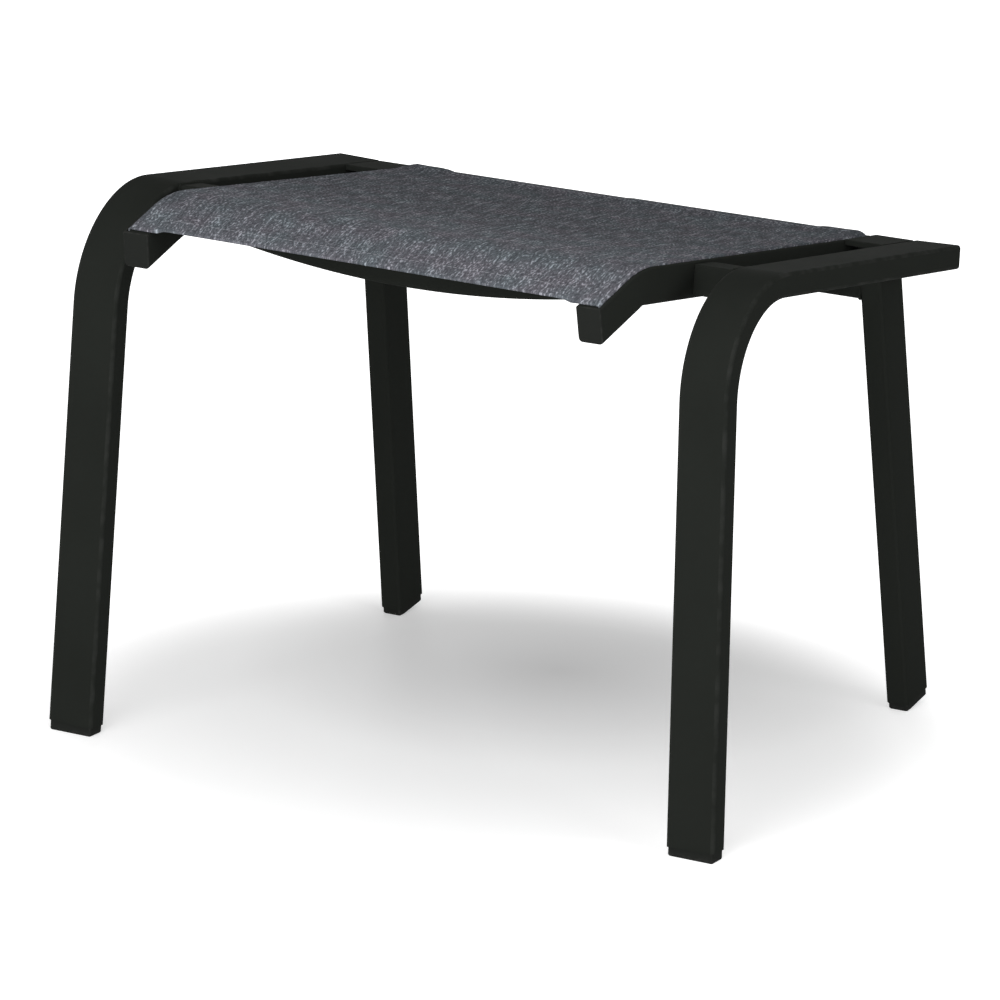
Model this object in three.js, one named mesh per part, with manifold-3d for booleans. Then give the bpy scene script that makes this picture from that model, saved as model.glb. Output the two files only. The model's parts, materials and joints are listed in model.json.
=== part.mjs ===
// Outdoor footstool: a woven sling stretched between two side rails, carried by two bent end frames.
// Millimetres. X runs across the stool, Y from front to back, Z up; the origin is on the floor, mid-footprint.
import * as THREE from 'three';
import { mergeVertices } from 'three/addons/utils/BufferGeometryUtils.js';
import Module from 'manifold-3d';

const wasm = await Module();
wasm.setup();

// Rest clearances between neighbouring pieces
const seatGap = 0.3;
const boreClearance = 0.35;

// Tube of the two bent end frames
const archTubeWide = 38;
const archTubeThick = 18;
const archTubeWall = 1.5;
const archTubeCorner = 2.6;

// Outline of an end frame, in its own plane
const archFloorHalfSpan = 259.6;
const archCantDeg = 1.71;
const frontLegFaceY = -201.85;
const frontLegRakeDeg = 2.0;
const archBendRadius = 74;
const barTopHeight = 393.45;
const barFallDeg = 6.49;
const barEndY = 182.85;
const frontFootClearance = 7;

// Rear legs, inboard of the end frames
const rearTubeDeep = 36.4;
const rearTubeThick = 18;
const rearTubeWall = 1.5;
const rearLegGap = 8.4;
const rearLegFloorHalfSpan = archFloorHalfSpan - archTubeWide / 2 - rearLegGap - rearTubeThick / 2;
const rearLegCantDeg = 1.46;
const rearLegTopY = 155.9;
const rearLegRakeDeg = 10.65;
const rearFootClearance = 5.2;

// Plates that close the gap over the rear legs
const capPlateFrontY = 129.6;
const capPlateBackY = 182.4;
const capPlateThick = 3;
const flushDrop = 1.4;

// Short tubes that join the end frames to the sling rails at the front
const connectorMidY = -96.35;
const connectorDeep = 28;
const connectorTall = 22;
const connectorWall = 2;

// Cross tube between the rear legs
const crossTubeDeep = 36;
const crossTubeTall = 16.8;
const crossTubeWall = 1.5;
const crossTubeCorner = 2;
const crossTubeFrontY = 145;

// Sling rails
const railWide = 20;
const railTall = 26.8;
const railWall = 1.8;
const railCorner = 1.6;
const railCantDeg = 1.5;
const railLegGap = 15.55;
const railMidX = rearLegFloorHalfSpan - rearTubeThick / 2 - railLegGap - railWide / 2;
const railBackY = 177.65;
const railFrontY = -239.7;
const railBackDrop = 1.64;
const railFallDeg = 6.83;
const railNoseDeg = 16;
const railNoseToeDeg = 3;
const railNoseCutDeg = 10;
const railKneeY = -175.5;
const railKneeRadius = 100;

// Groove in the top of a rail, and what lies in it
const slotCentre = 7.3;
const slotWide = 2.0;
const grooveCentreAcross = 6;
const grooveDepth = 4.1;
const grooveRadius = 2.9;
const kederRodRadius = 1.6;

// Woven sling
const slingThick = 1;
const slingFrontInsetLeft = 5.6;
const slingFrontInsetRight = 1.2;
const slingBackInset = 7;
const slingSag = 3;
const slingLift = 0.8;

// Bowed spreader bar under the front of the sling
const spreaderY = -155;
const spreaderTall = 20;
const spreaderDeep = 14;
const spreaderCorner = 4;
const spreaderWall = 1.5;
const spreaderBowRise = 20.31;
const spreaderDrop = 44.24;
const spreaderPinRadius = 4;

// Plastic plugs
const plugLip = 2;
const plugStub = 8;
const plugChamfer = 0.8;
const plugClearance = 0.25;
const glideInset = 1.1;
const glideStub = 14;
const rearGlideFlat = 7;

// Fasteners
const boltRadius = 3;
const boltHeadRadius = 5.5;
const boltHeadTall = 3.2;
const nutBodyRadius = 4;
const nutFlangeRadius = 4.9;
const nutFlangeThick = 0.8;
const nutBodyLength = 9;
const threadClearance = 0.1;
const connectorInsertReach = 14;
const sleeveRadius = 5;
const legBoltSpread = 16;
const legBoltDrop = 10.9;
const railBoltRise = 1.4;
const connectorInsertRadius = 7;

const rad = (deg) => THREE.MathUtils.degToRad(deg);
const vec = (x, y, z) => new THREE.Vector3(x, y, z);
const flat = (x, y) => new THREE.Vector2(x, y);

// Finishes
const finishes = {
  frame: { color: 0x2b2d2e, roughness: 0.55, metalness: 0.35 },
  rail: { color: 0x2f3132, roughness: 0.5, metalness: 0.4 },
  plastic: { color: 0x141515, roughness: 0.6, metalness: 0.0 },
  sling: { color: 0x565b61, roughness: 0.85, metalness: 0.0 },
  keder: { color: 0x3a3c3f, roughness: 0.5, metalness: 0.0 },
  steel: { color: 0x8d9093, roughness: 0.4, metalness: 0.9 },
};

const stool = new THREE.Group();
stool.name = 'outdoor_footstool';

function addPiece(name, geometry, finish) {
  geometry.computeVertexNormals();
  const mesh = new THREE.Mesh(geometry, new THREE.MeshStandardMaterial(finishes[finish]));
  mesh.name = name;
  stool.add(mesh);
}

// Signed volume of an indexed closed surface
function signedVolume(points, faces) {
  let total = 0;
  for (const [a, b, c] of faces) {
    total += points[a].dot(points[b].clone().cross(points[c]));
  }
  return total / 6;
}

// Indexed geometry that faces outwards
function closedGeometry(points, faces) {
  const outward = signedVolume(points, faces) >= 0;
  const geometry = new THREE.BufferGeometry();
  const coords = points.flatMap((p) => [p.x, p.y, p.z]);
  geometry.setAttribute('position', new THREE.Float32BufferAttribute(coords, 3));
  geometry.setIndex(faces.flatMap(([a, b, c]) => (outward ? [a, b, c] : [a, c, b])));
  return geometry;
}

function shapeArea(loop) {
  return THREE.ShapeUtils.area(loop);
}

// Triangles that close a flat section with optional holes, wound like its outline
function sectionFaces(outline, holes) {
  const faces = THREE.ShapeUtils.triangulateShape(outline.slice(), holes.map((h) => h.slice()));
  const all = [outline, ...holes].flat();
  const total = faces.reduce((sum, f) => sum + shapeArea(f.map((i) => all[i])), 0);
  return total * shapeArea(outline) > 0 ? faces : faces.map(([a, b, c]) => [a, c, b]);
}

// Join rings of points into one closed body; loops lists how each ring divides into closed outlines
function loftRings(rings, loops, capFaces) {
  const count = rings[0].length;
  const points = rings.flat();
  const faces = [];
  for (let r = 0; r + 1 < rings.length; r++) {
    for (const [start, length] of loops) {
      for (let j = 0; j < length; j++) {
        const a = r * count + start + j;
        const b = r * count + start + ((j + 1) % length);
        faces.push([a, b, b + count], [a, b + count, a + count]);
      }
    }
  }
  const last = (rings.length - 1) * count;
  for (const [a, b, c] of capFaces) {
    faces.push([a, c, b], [a + last, b + last, c + last]);
  }
  return closedGeometry(points, faces);
}

// Sweep a flat section with holes along a list of frames
function sweepSection(outline, holes, frames, trims = []) {
  const turned = holes.map((h) => (shapeArea(h) * shapeArea(outline) > 0 ? h.slice().reverse() : h));
  const all = [outline, ...turned].flat();
  const rings = frames.map((f) => all.map((p) => f.at(p.x, p.y)));
  for (const { ring, direction, plane } of trims) {
    const index = ring < 0 ? rings.length + ring : ring;
    rings[index] = rings[index].map((p) => slideTo(p, direction, plane));
  }
  const loops = [];
  let start = 0;
  for (const loop of [outline, ...turned]) {
    loops.push([start, loop.length]);
    start += loop.length;
  }
  return loftRings(rings, loops, sectionFaces(outline, turned));
}

// A place on a path: origin, across and up directions
function frameAt(origin, across, up) {
  return {
    origin,
    across,
    up,
    at: (a, b) => origin.clone().addScaledVector(across, a).addScaledVector(up, b),
  };
}

// Move a point along a direction until it meets a plane {point, normal}
function slideTo(p, direction, plane) {
  const gap = plane.point.clone().sub(p).dot(plane.normal);
  return p.clone().addScaledVector(direction, gap / direction.dot(plane.normal));
}

// The same plane moved along its normal
function shiftPlane(plane, distance) {
  return { point: plane.point.clone().addScaledVector(plane.normal, distance), normal: plane.normal };
}

// Rectangle with rounded corners, centred
function roundedRectangle(wide, tall, radius, steps = 3) {
  const loop = [];
  const corners = [[1, 1], [-1, 1], [-1, -1], [1, -1]];
  corners.forEach(([sx, sy], quarter) => {
    for (let i = 0; i <= steps; i++) {
      const angle = (quarter + i / steps) * (Math.PI / 2);
      const x = sx * (wide / 2 - radius) + radius * Math.cos(angle);
      const y = sy * (tall / 2 - radius) + radius * Math.sin(angle);
      loop.push(flat(x, y));
    }
  });
  return loop;
}

// Body of revolution about an axis, from [distance along, radius] pairs
function turnedBody(origin, axis, profile, bore = 0, segments = 12) {
  const side = Math.abs(axis.z) > 0.9 ? vec(1, 0, 0) : vec(0, 0, 1);
  const across = side.clone().cross(axis).normalize();
  const up = axis.clone().cross(across).normalize();
  const ringOf = (along, radius) => {
    const ring = [];
    for (let i = 0; i < segments; i++) {
      const angle = (2 * Math.PI * i) / segments;
      const p = origin.clone().addScaledVector(axis, along);
      p.addScaledVector(across, radius * Math.cos(angle));
      ring.push(p.addScaledVector(up, radius * Math.sin(angle)));
    }
    return ring;
  };
  const circle = (radius) => ringOf(0, radius).map((p) => flat(
    p.clone().sub(origin).dot(across),
    p.clone().sub(origin).dot(up),
  ));
  const outer = profile.map(([along, radius]) => ringOf(along, radius));
  if (bore === 0) {
    return loftRings(outer, [[0, segments]], sectionFaces(circle(1), []));
  }
  const rings = outer.map((ring, i) => [...ring, ...ringOf(profile[i][0], bore).reverse()]);
  const inner = circle(bore).reverse();
  return loftRings(rings, [[0, segments], [segments, segments]], sectionFaces(circle(bore * 2), [inner]));
}

// Convert between three.js geometry and solids for cutting and joining
function toSolid(geometry) {
  const bare = geometry.clone();
  bare.deleteAttribute('normal');
  bare.deleteAttribute('uv');
  const welded = mergeVertices(bare, 1e-4);
  return new wasm.Manifold(new wasm.Mesh({
    numProp: 3,
    vertProperties: new Float32Array(welded.attributes.position.array),
    triVerts: new Uint32Array(welded.index.array),
  }));
}

function fromSolid(solid) {
  const mesh = solid.getMesh();
  const geometry = new THREE.BufferGeometry();
  geometry.setAttribute('position', new THREE.Float32BufferAttribute(mesh.vertProperties, 3));
  geometry.setIndex(Array.from(mesh.triVerts));
  return geometry;
}

function cutAway(geometry, cutters) {
  let solid = toSolid(geometry);
  for (const cutter of cutters) {
    solid = solid.subtract(toSolid(cutter));
  }
  return fromSolid(solid);
}

function joinUp(geometries) {
  return fromSolid(geometries.map(toSolid).reduce((whole, next) => whole.add(next)));
}

// The canted plane of a side member; side is -1 on the left and 1 on the right
function cantedPlane(side, floorHalfSpan, cantDeg) {
  const cant = rad(cantDeg);
  const across = vec(side * Math.cos(cant), 0, Math.sin(cant));
  const rise = vec(-side * Math.sin(cant), 0, Math.cos(cant));
  const foot = vec(side * floorHalfSpan, 0, 0);
  const back = vec(0, 1, 0);
  return {
    across,
    rise,
    back,
    at: (u, y, h) => foot.clone().addScaledVector(across, u).addScaledVector(back, y).addScaledVector(rise, h),
    face: (u) => ({ point: foot.clone().addScaledVector(across, u), normal: across.clone() }),
  };
}

const archPlane = (side) => cantedPlane(side, archFloorHalfSpan, archCantDeg);
const rearPlane = (side) => cantedPlane(side, rearLegFloorHalfSpan, rearLegCantDeg);

// Centre line of an end frame in its plane, as [y, h, turn] with turn the tube's angle from upright
function archCentreLine() {
  const rake = rad(frontLegRakeDeg);
  const fall = rad(barFallDeg);
  const half = archTubeThick / 2;
  const legY = (h) => frontLegFaceY + half / Math.cos(rake) + Math.tan(rake) * h;
  const barH = (y) => barTopHeight - half / Math.cos(fall) - Math.tan(fall) * y;
  const cornerH = (barTopHeight - half / Math.cos(fall) - Math.tan(fall) * legY(0))
    / (1 + Math.tan(fall) * Math.tan(rake));
  const cornerY = legY(cornerH);
  const turn = Math.PI / 2 - rake + fall;
  const tangent = archBendRadius * Math.tan(turn / 2);
  const startY = cornerY - tangent * Math.sin(rake);
  const startH = cornerH - tangent * Math.cos(rake);
  const line = [[legY(frontFootClearance), frontFootClearance, rake]];
  const steps = 12;
  for (let i = 0; i <= steps; i++) {
    const angle = (turn * i) / steps;
    const along = archBendRadius * Math.sin(angle);
    const aside = archBendRadius * (1 - Math.cos(angle));
    line.push([
      startY + along * Math.sin(rake) + aside * Math.cos(rake),
      startH + along * Math.cos(rake) - aside * Math.sin(rake),
      rake + angle,
    ]);
  }
  line.push([barEndY - plugLip, barH(barEndY - plugLip), rake + turn]);
  return line;
}

// Frames along an end frame's tube: across is outward, up is towards the outside of the bend
function archFrames(side) {
  const plane = archPlane(side);
  return archCentreLine().map(([y, h, turn]) => {
    const up = plane.back.clone().multiplyScalar(-Math.cos(turn)).addScaledVector(plane.rise, Math.sin(turn));
    return frameAt(plane.at(0, y, h), plane.across, up);
  });
}

// Height of the bar's top surface over the floor plane of its frame
function barTopAt(y) {
  return barTopHeight - Math.tan(rad(barFallDeg)) * y;
}

// Height of a rear leg's cut top, and the depth of the leg's middle at any height
function rearLegTopH() {
  return barTopAt(rearLegTopY) - flushDrop - capPlateThick - seatGap;
}

function rearLegMidY(h) {
  return rearLegTopY + Math.tan(rad(rearLegRakeDeg)) * (rearLegTopH() - h);
}

// Middles of the two bolt holes in a rear leg, front one first
function legBoltPoints(side) {
  const plane = rearPlane(side);
  const middle = rearLegMidY(barTopAt(rearLegTopY) - legBoltDrop);
  return [-0.5, 0.5].map((share) => {
    const y = middle + share * legBoltSpread;
    return plane.at(0, y, barTopAt(y) - legBoltDrop);
  });
}

function archFrame(side) {
  const outline = roundedRectangle(archTubeWide, archTubeThick, archTubeCorner);
  const inner = roundedRectangle(
    archTubeWide - 2 * archTubeWall,
    archTubeThick - 2 * archTubeWall,
    archTubeCorner - archTubeWall,
    2,
  );
  const tube = sweepSection(outline, [inner], archFrames(side));
  const axis = rearPlane(side).across;
  const holes = legBoltPoints(side).map((p) => {
    const wall = slideTo(p, axis, archPlane(side).face(-archTubeWide / 2));
    return turnedBody(wall, axis, [[-4, nutBodyRadius + 0.2], [4, nutBodyRadius + 0.2]]);
  });
  return cutAway(tube, holes);
}

// Plug for an open tube end: lip outside, stub inside
function tubePlug(frame, wide, tall, corner, wall, outwards) {
  const stubWide = wide - 2 * wall - 2 * plugClearance;
  const stubTall = tall - 2 * wall - 2 * plugClearance;
  const outline = roundedRectangle(wide, tall, corner);
  const shrunk = roundedRectangle(wide - 2 * plugChamfer, tall - 2 * plugChamfer, corner);
  const stub = roundedRectangle(stubWide, stubTall, Math.max(corner - wall, 0.8));
  const ringAt = (loop, along) => loop.map((p) => frame.at(p.x, p.y).addScaledVector(outwards, along));
  const rings = [
    ringAt(stub, -plugStub),
    ringAt(stub, 0.05),
    ringAt(outline, 0.05),
    ringAt(outline, plugLip - plugChamfer),
    ringAt(shrunk, plugLip),
  ];
  return loftRings(rings, [[0, outline.length]], sectionFaces(outline, []));
}

function archEndCap(side) {
  const frames = archFrames(side);
  const end = frames[frames.length - 1];
  const outwards = end.origin.clone().sub(frames[frames.length - 2].origin).normalize();
  return tubePlug(end, archTubeWide, archTubeThick, archTubeCorner, archTubeWall, outwards);
}

// Glide in a front foot: a stub in the tube and a pad cut level with the floor
function frontGlide(side) {
  const foot = archFrames(side)[0];
  const axis = foot.across.clone().cross(foot.up).normalize();
  const down = axis.z < 0 ? axis : axis.negate();
  return glideBody(foot, archTubeWide, archTubeThick, down, (p) => {
    const floor = { point: vec(0, 0, 0), normal: vec(0, 0, 1) };
    return slideTo(p, down, floor);
  });
}

function glideBody(foot, wide, tall, down, toFloor) {
  const padWide = wide - 2 * glideInset;
  const padTall = tall - 2 * glideInset;
  const stub = roundedRectangle(wide - 2 * archTubeWall - 0.4, tall - 2 * archTubeWall - 0.4, 0.9);
  const pad = roundedRectangle(padWide, padTall, 1.6);
  const sole = roundedRectangle(padWide - 1.6, padTall - 1.6, 1.2);
  const ringAt = (loop, along) => loop.map((p) => foot.at(p.x, p.y).addScaledVector(down, along));
  const rings = [
    ringAt(stub, -glideStub),
    ringAt(stub, 0.05),
    ringAt(pad, 0.05),
    ringAt(pad, 0.05).map((p) => toFloor(p).addScaledVector(down, -1)),
    ringAt(sole, 0.05).map((p) => toFloor(p)),
  ];
  return loftRings(rings, [[0, pad.length]], sectionFaces(pad, []));
}

// Frames at the two ends of a rear leg: across is outward, up is towards the front of the stool
function rearLegFrames(side) {
  const plane = rearPlane(side);
  const rake = rad(rearLegRakeDeg);
  const front = plane.back.clone().multiplyScalar(-Math.cos(rake)).addScaledVector(plane.rise, -Math.sin(rake));
  const footH = rearFootClearance + (rearTubeDeep / 2) * Math.sin(rake);
  return [footH, rearLegTopH()].map((h) => frameAt(plane.at(0, rearLegMidY(h), h), plane.across, front));
}

// Plane under a flush cap plate
function capPlateUnderside(side, drop) {
  const fall = rad(barFallDeg);
  const plane = archPlane(side);
  const normal = plane.rise.clone().multiplyScalar(Math.cos(fall)).addScaledVector(plane.back, Math.sin(fall));
  return { point: plane.at(-archTubeWide / 2, 0, barTopAt(0) - drop), normal };
}

function rearLeg(side) {
  const frames = rearLegFrames(side);
  const outline = roundedRectangle(rearTubeThick, rearTubeDeep, archTubeCorner);
  const inner = roundedRectangle(
    rearTubeThick - 2 * rearTubeWall,
    rearTubeDeep - 2 * rearTubeWall,
    archTubeCorner - rearTubeWall,
    2,
  );
  const rise = frames[1].origin.clone().sub(frames[0].origin).normalize();
  const under = capPlateUnderside(side, flushDrop + capPlateThick + seatGap);
  const tube = sweepSection(outline, [inner], frames, [{ ring: -1, direction: rise, plane: under }]);
  const holes = legBoltPoints(side).map((p) => turnedBody(
    p,
    rearPlane(side).across,
    [[-20, boltRadius + boreClearance], [20, boltRadius + boreClearance]],
  ));
  return cutAway(tube, holes);
}

// Glide in a rear foot: square with the raked leg, with a small flat under its front edge
function rearGlide(side) {
  const foot = rearLegFrames(side)[0];
  const down = foot.across.clone().cross(foot.up).normalize();
  if (down.z > 0) {
    down.negate();
  }
  const frontEdge = foot.at(0, rearTubeDeep / 2 - glideInset);
  const hinge = frontEdge.y + rearGlideFlat;
  const toFloor = (p) => {
    const level = slideTo(p, down, { point: vec(0, 0, 0), normal: vec(0, 0, 1) });
    const square = slideTo(p, down, { point: vec(frontEdge.x, hinge, 0), normal: down.clone() });
    return square.z > level.z ? square : level;
  };
  return rearGlideBody(foot, down, toFloor);
}

function rearGlideBody(foot, down, toFloor) {
  const padWide = rearTubeThick - 2 * glideInset;
  const padDeep = rearTubeDeep - 2 * glideInset;
  const stub = splitLoop(rearTubeThick - 2 * rearTubeWall - 0.4, rearTubeDeep - 2 * rearTubeWall - 0.4, 0.9);
  const pad = splitLoop(padWide, padDeep, 1.6);
  const sole = splitLoop(padWide - 1.6, padDeep - 1.6, 1.2);
  const ringAt = (loop, along) => loop.map((p) => foot.at(p.x, p.y).addScaledVector(down, along));
  const rings = [
    ringAt(stub, -glideStub),
    ringAt(stub, 0.05),
    ringAt(pad, 0.05),
    ringAt(pad, 0.05).map((p) => toFloor(p).addScaledVector(down, -1)),
    ringAt(sole, 0.05).map((p) => toFloor(p)),
  ];
  return loftRings(rings, [[0, pad.length]], bandFaces(pad.length));
}

// Rounded rectangle whose long sides carry a point where the sole bends
function splitLoop(wide, deep, radius) {
  const loop = roundedRectangle(wide, deep, radius);
  const bend = deep / 2 - rearGlideFlat;
  const quarter = loop.length / 4;
  const left = flat(-wide / 2, bend);
  const right = flat(wide / 2, bend);
  return [...loop.slice(0, 2 * quarter), left, ...loop.slice(2 * quarter), right];
}

// Cap of a splitLoop: two convex fans that meet on the bend line
function bandFaces(count) {
  const quarter = (count - 2) / 4;
  const left = 2 * quarter;
  const right = count - 1;
  const faces = [];
  for (let i = 0; i + 1 <= left; i++) {
    faces.push([right, i, i + 1]);
  }
  for (let i = left; i + 1 < right; i++) {
    faces.push([right, i, i + 1]);
  }
  return faces;
}

// Height of the top edge of a rail's long straight part, set from the bar beside its back end
function railTopAt(y) {
  return barTopAt(railBackY) - railBackDrop + Math.tan(rad(railFallDeg)) * (railBackY - y);
}

// Centre line of a sling rail, back to front, as {y, z, slope, inset, toe}
// The nose turns down and, by the toe angle, inwards; inset is the shift inwards.
function railCentreLine() {
  const fall = rad(railFallDeg);
  const nose = rad(railNoseDeg);
  const toe = rad(railNoseToeDeg);
  const half = railTall / 2;
  const kneeTopZ = railTopAt(railKneeY);
  const bisector = (nose - fall) / 2;
  const shrink = half / Math.cos((nose + fall) / 2);
  const kneeY = railKneeY - shrink * Math.sin(bisector);
  const kneeZ = kneeTopZ - shrink * Math.cos(bisector);
  const turn = fall + nose;
  const tangent = railKneeRadius * Math.tan(turn / 2);
  const backZ = (y) => kneeZ - Math.tan(fall) * (y - kneeY);
  const noseZ = (y) => kneeZ - Math.tan(nose) * (kneeY - y);
  const insetAt = (y) => Math.tan(toe) * Math.max(0, kneeY - y);
  const tailY = railBackY - half * Math.sin(fall);
  const line = [{ y: tailY, z: backZ(tailY), slope: -fall, inset: 0, toe: 0 }];
  const startY = kneeY + tangent * Math.cos(fall);
  const startZ = backZ(startY);
  const steps = 7;
  for (let i = 0; i <= steps; i++) {
    const share = i / steps;
    const angle = turn * share;
    const along = railKneeRadius * Math.sin(angle);
    const aside = railKneeRadius * (1 - Math.cos(angle));
    const y = startY - along * Math.cos(fall) - aside * Math.sin(fall);
    const z = startZ + along * Math.sin(fall) - aside * Math.cos(fall);
    const endInset = insetAt(kneeY - tangent * Math.cos(nose));
    line.push({ y, z, slope: angle - fall, inset: endInset * share * share, toe: toe * share });
  }
  const cut = rad(railNoseCutDeg);
  const tipY = railFrontY + half * Math.sin(cut);
  line.push({ y: tipY, z: noseZ(tipY), slope: cut, inset: insetAt(tipY), toe });
  return line;
}

// A frame on the rail: across is outward and tipped up by the cant, up is square to the rail
function railFrame(side, { y, z, slope, inset, toe }) {
  const cant = rad(railCantDeg);
  const ahead = vec(
    -side * Math.sin(toe) * Math.cos(slope),
    -Math.cos(toe) * Math.cos(slope),
    -Math.sin(slope),
  );
  const level = vec(side * Math.cos(toe), -Math.sin(toe), 0);
  const rise = level.clone().cross(ahead).multiplyScalar(-side);
  const across = level.clone().multiplyScalar(Math.cos(cant)).addScaledVector(rise, Math.sin(cant));
  const up = rise.clone().multiplyScalar(Math.cos(cant)).addScaledVector(level, -Math.sin(cant));
  return frameAt(vec(side * (railMidX - inset), y, z), across, up);
}

function railFrames(side) {
  return railCentreLine().map((place) => railFrame(side, place));
}

// Rail frame at any depth, read off the centre line
function railFrameAtY(side, y) {
  const line = railCentreLine();
  const next = Math.max(1, line.findIndex((place) => place.y <= y));
  const from = line[next - 1];
  const to = line[next];
  const share = (from.y - y) / (from.y - to.y);
  const mix = (key) => from[key] + (to[key] - from[key]) * share;
  return railFrame(side, { y, z: mix('z'), slope: mix('slope'), inset: mix('inset'), toe: mix('toe') });
}

// Flat outer or inner face of the straight part of a rail
function railFace(side, outward) {
  const frame = railFrameAtY(side, 0);
  const point = frame.at((outward * railWide) / 2, 0);
  return { point, normal: frame.across.clone().multiplyScalar(outward) };
}

// Section of a rail: rounded box, open keder groove near the outer top edge, hollow chamber
function railSection() {
  const halfWide = railWide / 2;
  const halfTall = railTall / 2;
  const grooveB = halfTall - grooveDepth;
  const wallRight = slotCentre + slotWide / 2;
  const wallLeft = slotCentre - slotWide / 2;
  const right = Math.acos((wallRight - grooveCentreAcross) / grooveRadius);
  const left = Math.acos((wallLeft - grooveCentreAcross) / grooveRadius) - 2 * Math.PI;
  const box = roundedRectangle(railWide, railTall, railCorner, 2);
  const firstCorner = box.slice(0, 3);
  const rest = box.slice(3);
  const groove = [flat(wallRight, halfTall)];
  const steps = 10;
  for (let i = 0; i <= steps; i++) {
    const angle = right + ((left - right) * i) / steps;
    groove.push(flat(
      grooveCentreAcross + grooveRadius * Math.cos(angle),
      grooveB + grooveRadius * Math.sin(angle),
    ));
  }
  groove.push(flat(wallLeft, halfTall));
  const outline = [...firstCorner, ...groove, ...rest];
  const shelf = grooveB - grooveRadius - railWall;
  const step = grooveCentreAcross - grooveRadius - railWall;
  const x0 = -halfWide + railWall;
  const x1 = halfWide - railWall;
  const y0 = -halfTall + railWall;
  const y1 = halfTall - railWall;
  const chamber = [flat(x0, y0), flat(x1, y0), flat(x1, shelf), flat(step, shelf), flat(step, y1), flat(x0, y1)];
  return { outline, chamber };
}

// Rail frame beside the connector, and the middle of the bolt hole there
function connectorBolt(side) {
  const frame = railFrameAtY(side, connectorMidY);
  return { point: frame.at(0, railBoltRise), axis: frame.across };
}

// Rail frame over the cross tube, and the middle of the screw hole in the rail's underside
function crossScrew(side) {
  const frame = railFrameAtY(side, crossTubeMiddle().y);
  return { point: frame.at(0, -railTall / 2), axis: frame.up };
}

function slingRail(side) {
  const { outline, chamber } = railSection();
  const rail = sweepSection(outline, [chamber], railFrames(side));
  const boltHole = boltRadius + boreClearance;
  const nutHole = nutBodyRadius + 0.2;
  const pinHole = spreaderPinRadius + 0.3;
  const bolted = connectorBolt(side);
  const screwed = crossScrew(side);
  return cutAway(rail, [
    turnedBody(bolted.point, bolted.axis, [[-16, boltHole], [16, boltHole]]),
    turnedBody(screwed.point, screwed.axis, [[-4, nutHole], [4, nutHole]]),
    turnedBody(spreaderEnd(side), spreaderPlugAxis(side), [[-3, pinHole], [6, pinHole]]),
  ]);
}

// Plug in a rail end: a chamfered lip over the whole section, a stub in the chamber
function railEndCap(side, atFront) {
  const frames = railFrames(side);
  const end = frames[atFront ? frames.length - 1 : 0];
  const inwards = frames[atFront ? frames.length - 2 : 1].origin.clone().sub(end.origin).normalize();
  const outwards = end.across.clone().cross(end.up).multiplyScalar(atFront ? side : -side).normalize();
  const outline = roundedRectangle(railWide, railTall, railCorner, 2);
  const shrunk = roundedRectangle(railWide - 2 * plugChamfer, railTall - 2 * plugChamfer, railCorner, 2);
  const ringAt = (loop, along) => loop.map((p) => end.at(p.x, p.y).addScaledVector(outwards, along));
  const lip = loftRings(
    [ringAt(outline, 0.05), ringAt(outline, plugLip - plugChamfer), ringAt(shrunk, plugLip)],
    [[0, outline.length]],
    sectionFaces(outline, []),
  );
  const low = railTall / 2 - grooveDepth - grooveRadius - railWall;
  const base = -railTall / 2 + railWall;
  const stubTall = low - base - 0.5;
  const stub = roundedRectangle(railWide - 2 * railWall - 0.5, stubTall, 1.2, 2);
  const shifted = stub.map((p) => flat(p.x, p.y + (low + base) / 2));
  const tail = shifted.map((p) => end.at(p.x, p.y).addScaledVector(inwards, plugStub));
  const plug = loftRings([tail, ringAt(shifted, 0.6)], [[0, shifted.length]], sectionFaces(shifted, []));
  return joinUp([lip, plug]);
}

// Radius of the spreader's middle line, from its span and the rise of its ends
function spreaderBowRadius() {
  const half = railMidX - railWide / 2;
  return (half * half + spreaderBowRise * spreaderBowRise) / (2 * spreaderBowRise);
}

// Bowed spreader: lowest in the middle, ends against the inner faces of the rails
function spreaderCentreZ(x) {
  const radius = spreaderBowRadius();
  const low = railTopAt(spreaderY) - spreaderDrop + spreaderTall / 2;
  return low + radius - Math.sqrt(radius * radius - x * x);
}

function spreaderEndX(side) {
  const face = railFace(side, -1);
  const z = spreaderCentreZ(railMidX - railWide / 2);
  const p = slideTo(vec(0, spreaderY, z), vec(side, 0, 0), face);
  return p.x;
}

function spreaderEnd(side) {
  const x = spreaderEndX(side);
  return vec(x, spreaderY, spreaderCentreZ(x));
}

function spreaderFrames() {
  const reach = spreaderEndX(1);
  const radius = spreaderBowRadius();
  const steps = 14;
  const frames = [];
  for (let i = 0; i <= steps; i++) {
    const x = -reach + (2 * reach * i) / steps;
    const tilt = Math.asin(x / radius);
    frames.push(frameAt(
      vec(x, spreaderY, spreaderCentreZ(x)),
      vec(0, 1, 0),
      vec(-Math.sin(tilt), 0, Math.cos(tilt)),
    ));
  }
  return frames;
}

// Direction of the last straight stretch of the spreader
function spreaderPlugAxis(side) {
  const frames = spreaderFrames();
  const end = side > 0 ? frames.length - 1 : 0;
  return frames[end].origin.clone().sub(frames[end - side].origin).normalize();
}

function frontSpreader() {
  const outline = roundedRectangle(spreaderDeep, spreaderTall, spreaderCorner);
  const inner = roundedRectangle(
    spreaderDeep - 2 * spreaderWall,
    spreaderTall - 2 * spreaderWall,
    spreaderCorner - spreaderWall,
    2,
  );
  return sweepSection(outline, [inner], spreaderFrames(), [
    { ring: 0, direction: spreaderPlugAxis(-1), plane: shiftPlane(railFace(-1, -1), seatGap) },
    { ring: -1, direction: spreaderPlugAxis(1), plane: shiftPlane(railFace(1, -1), seatGap) },
  ]);
}

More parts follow.
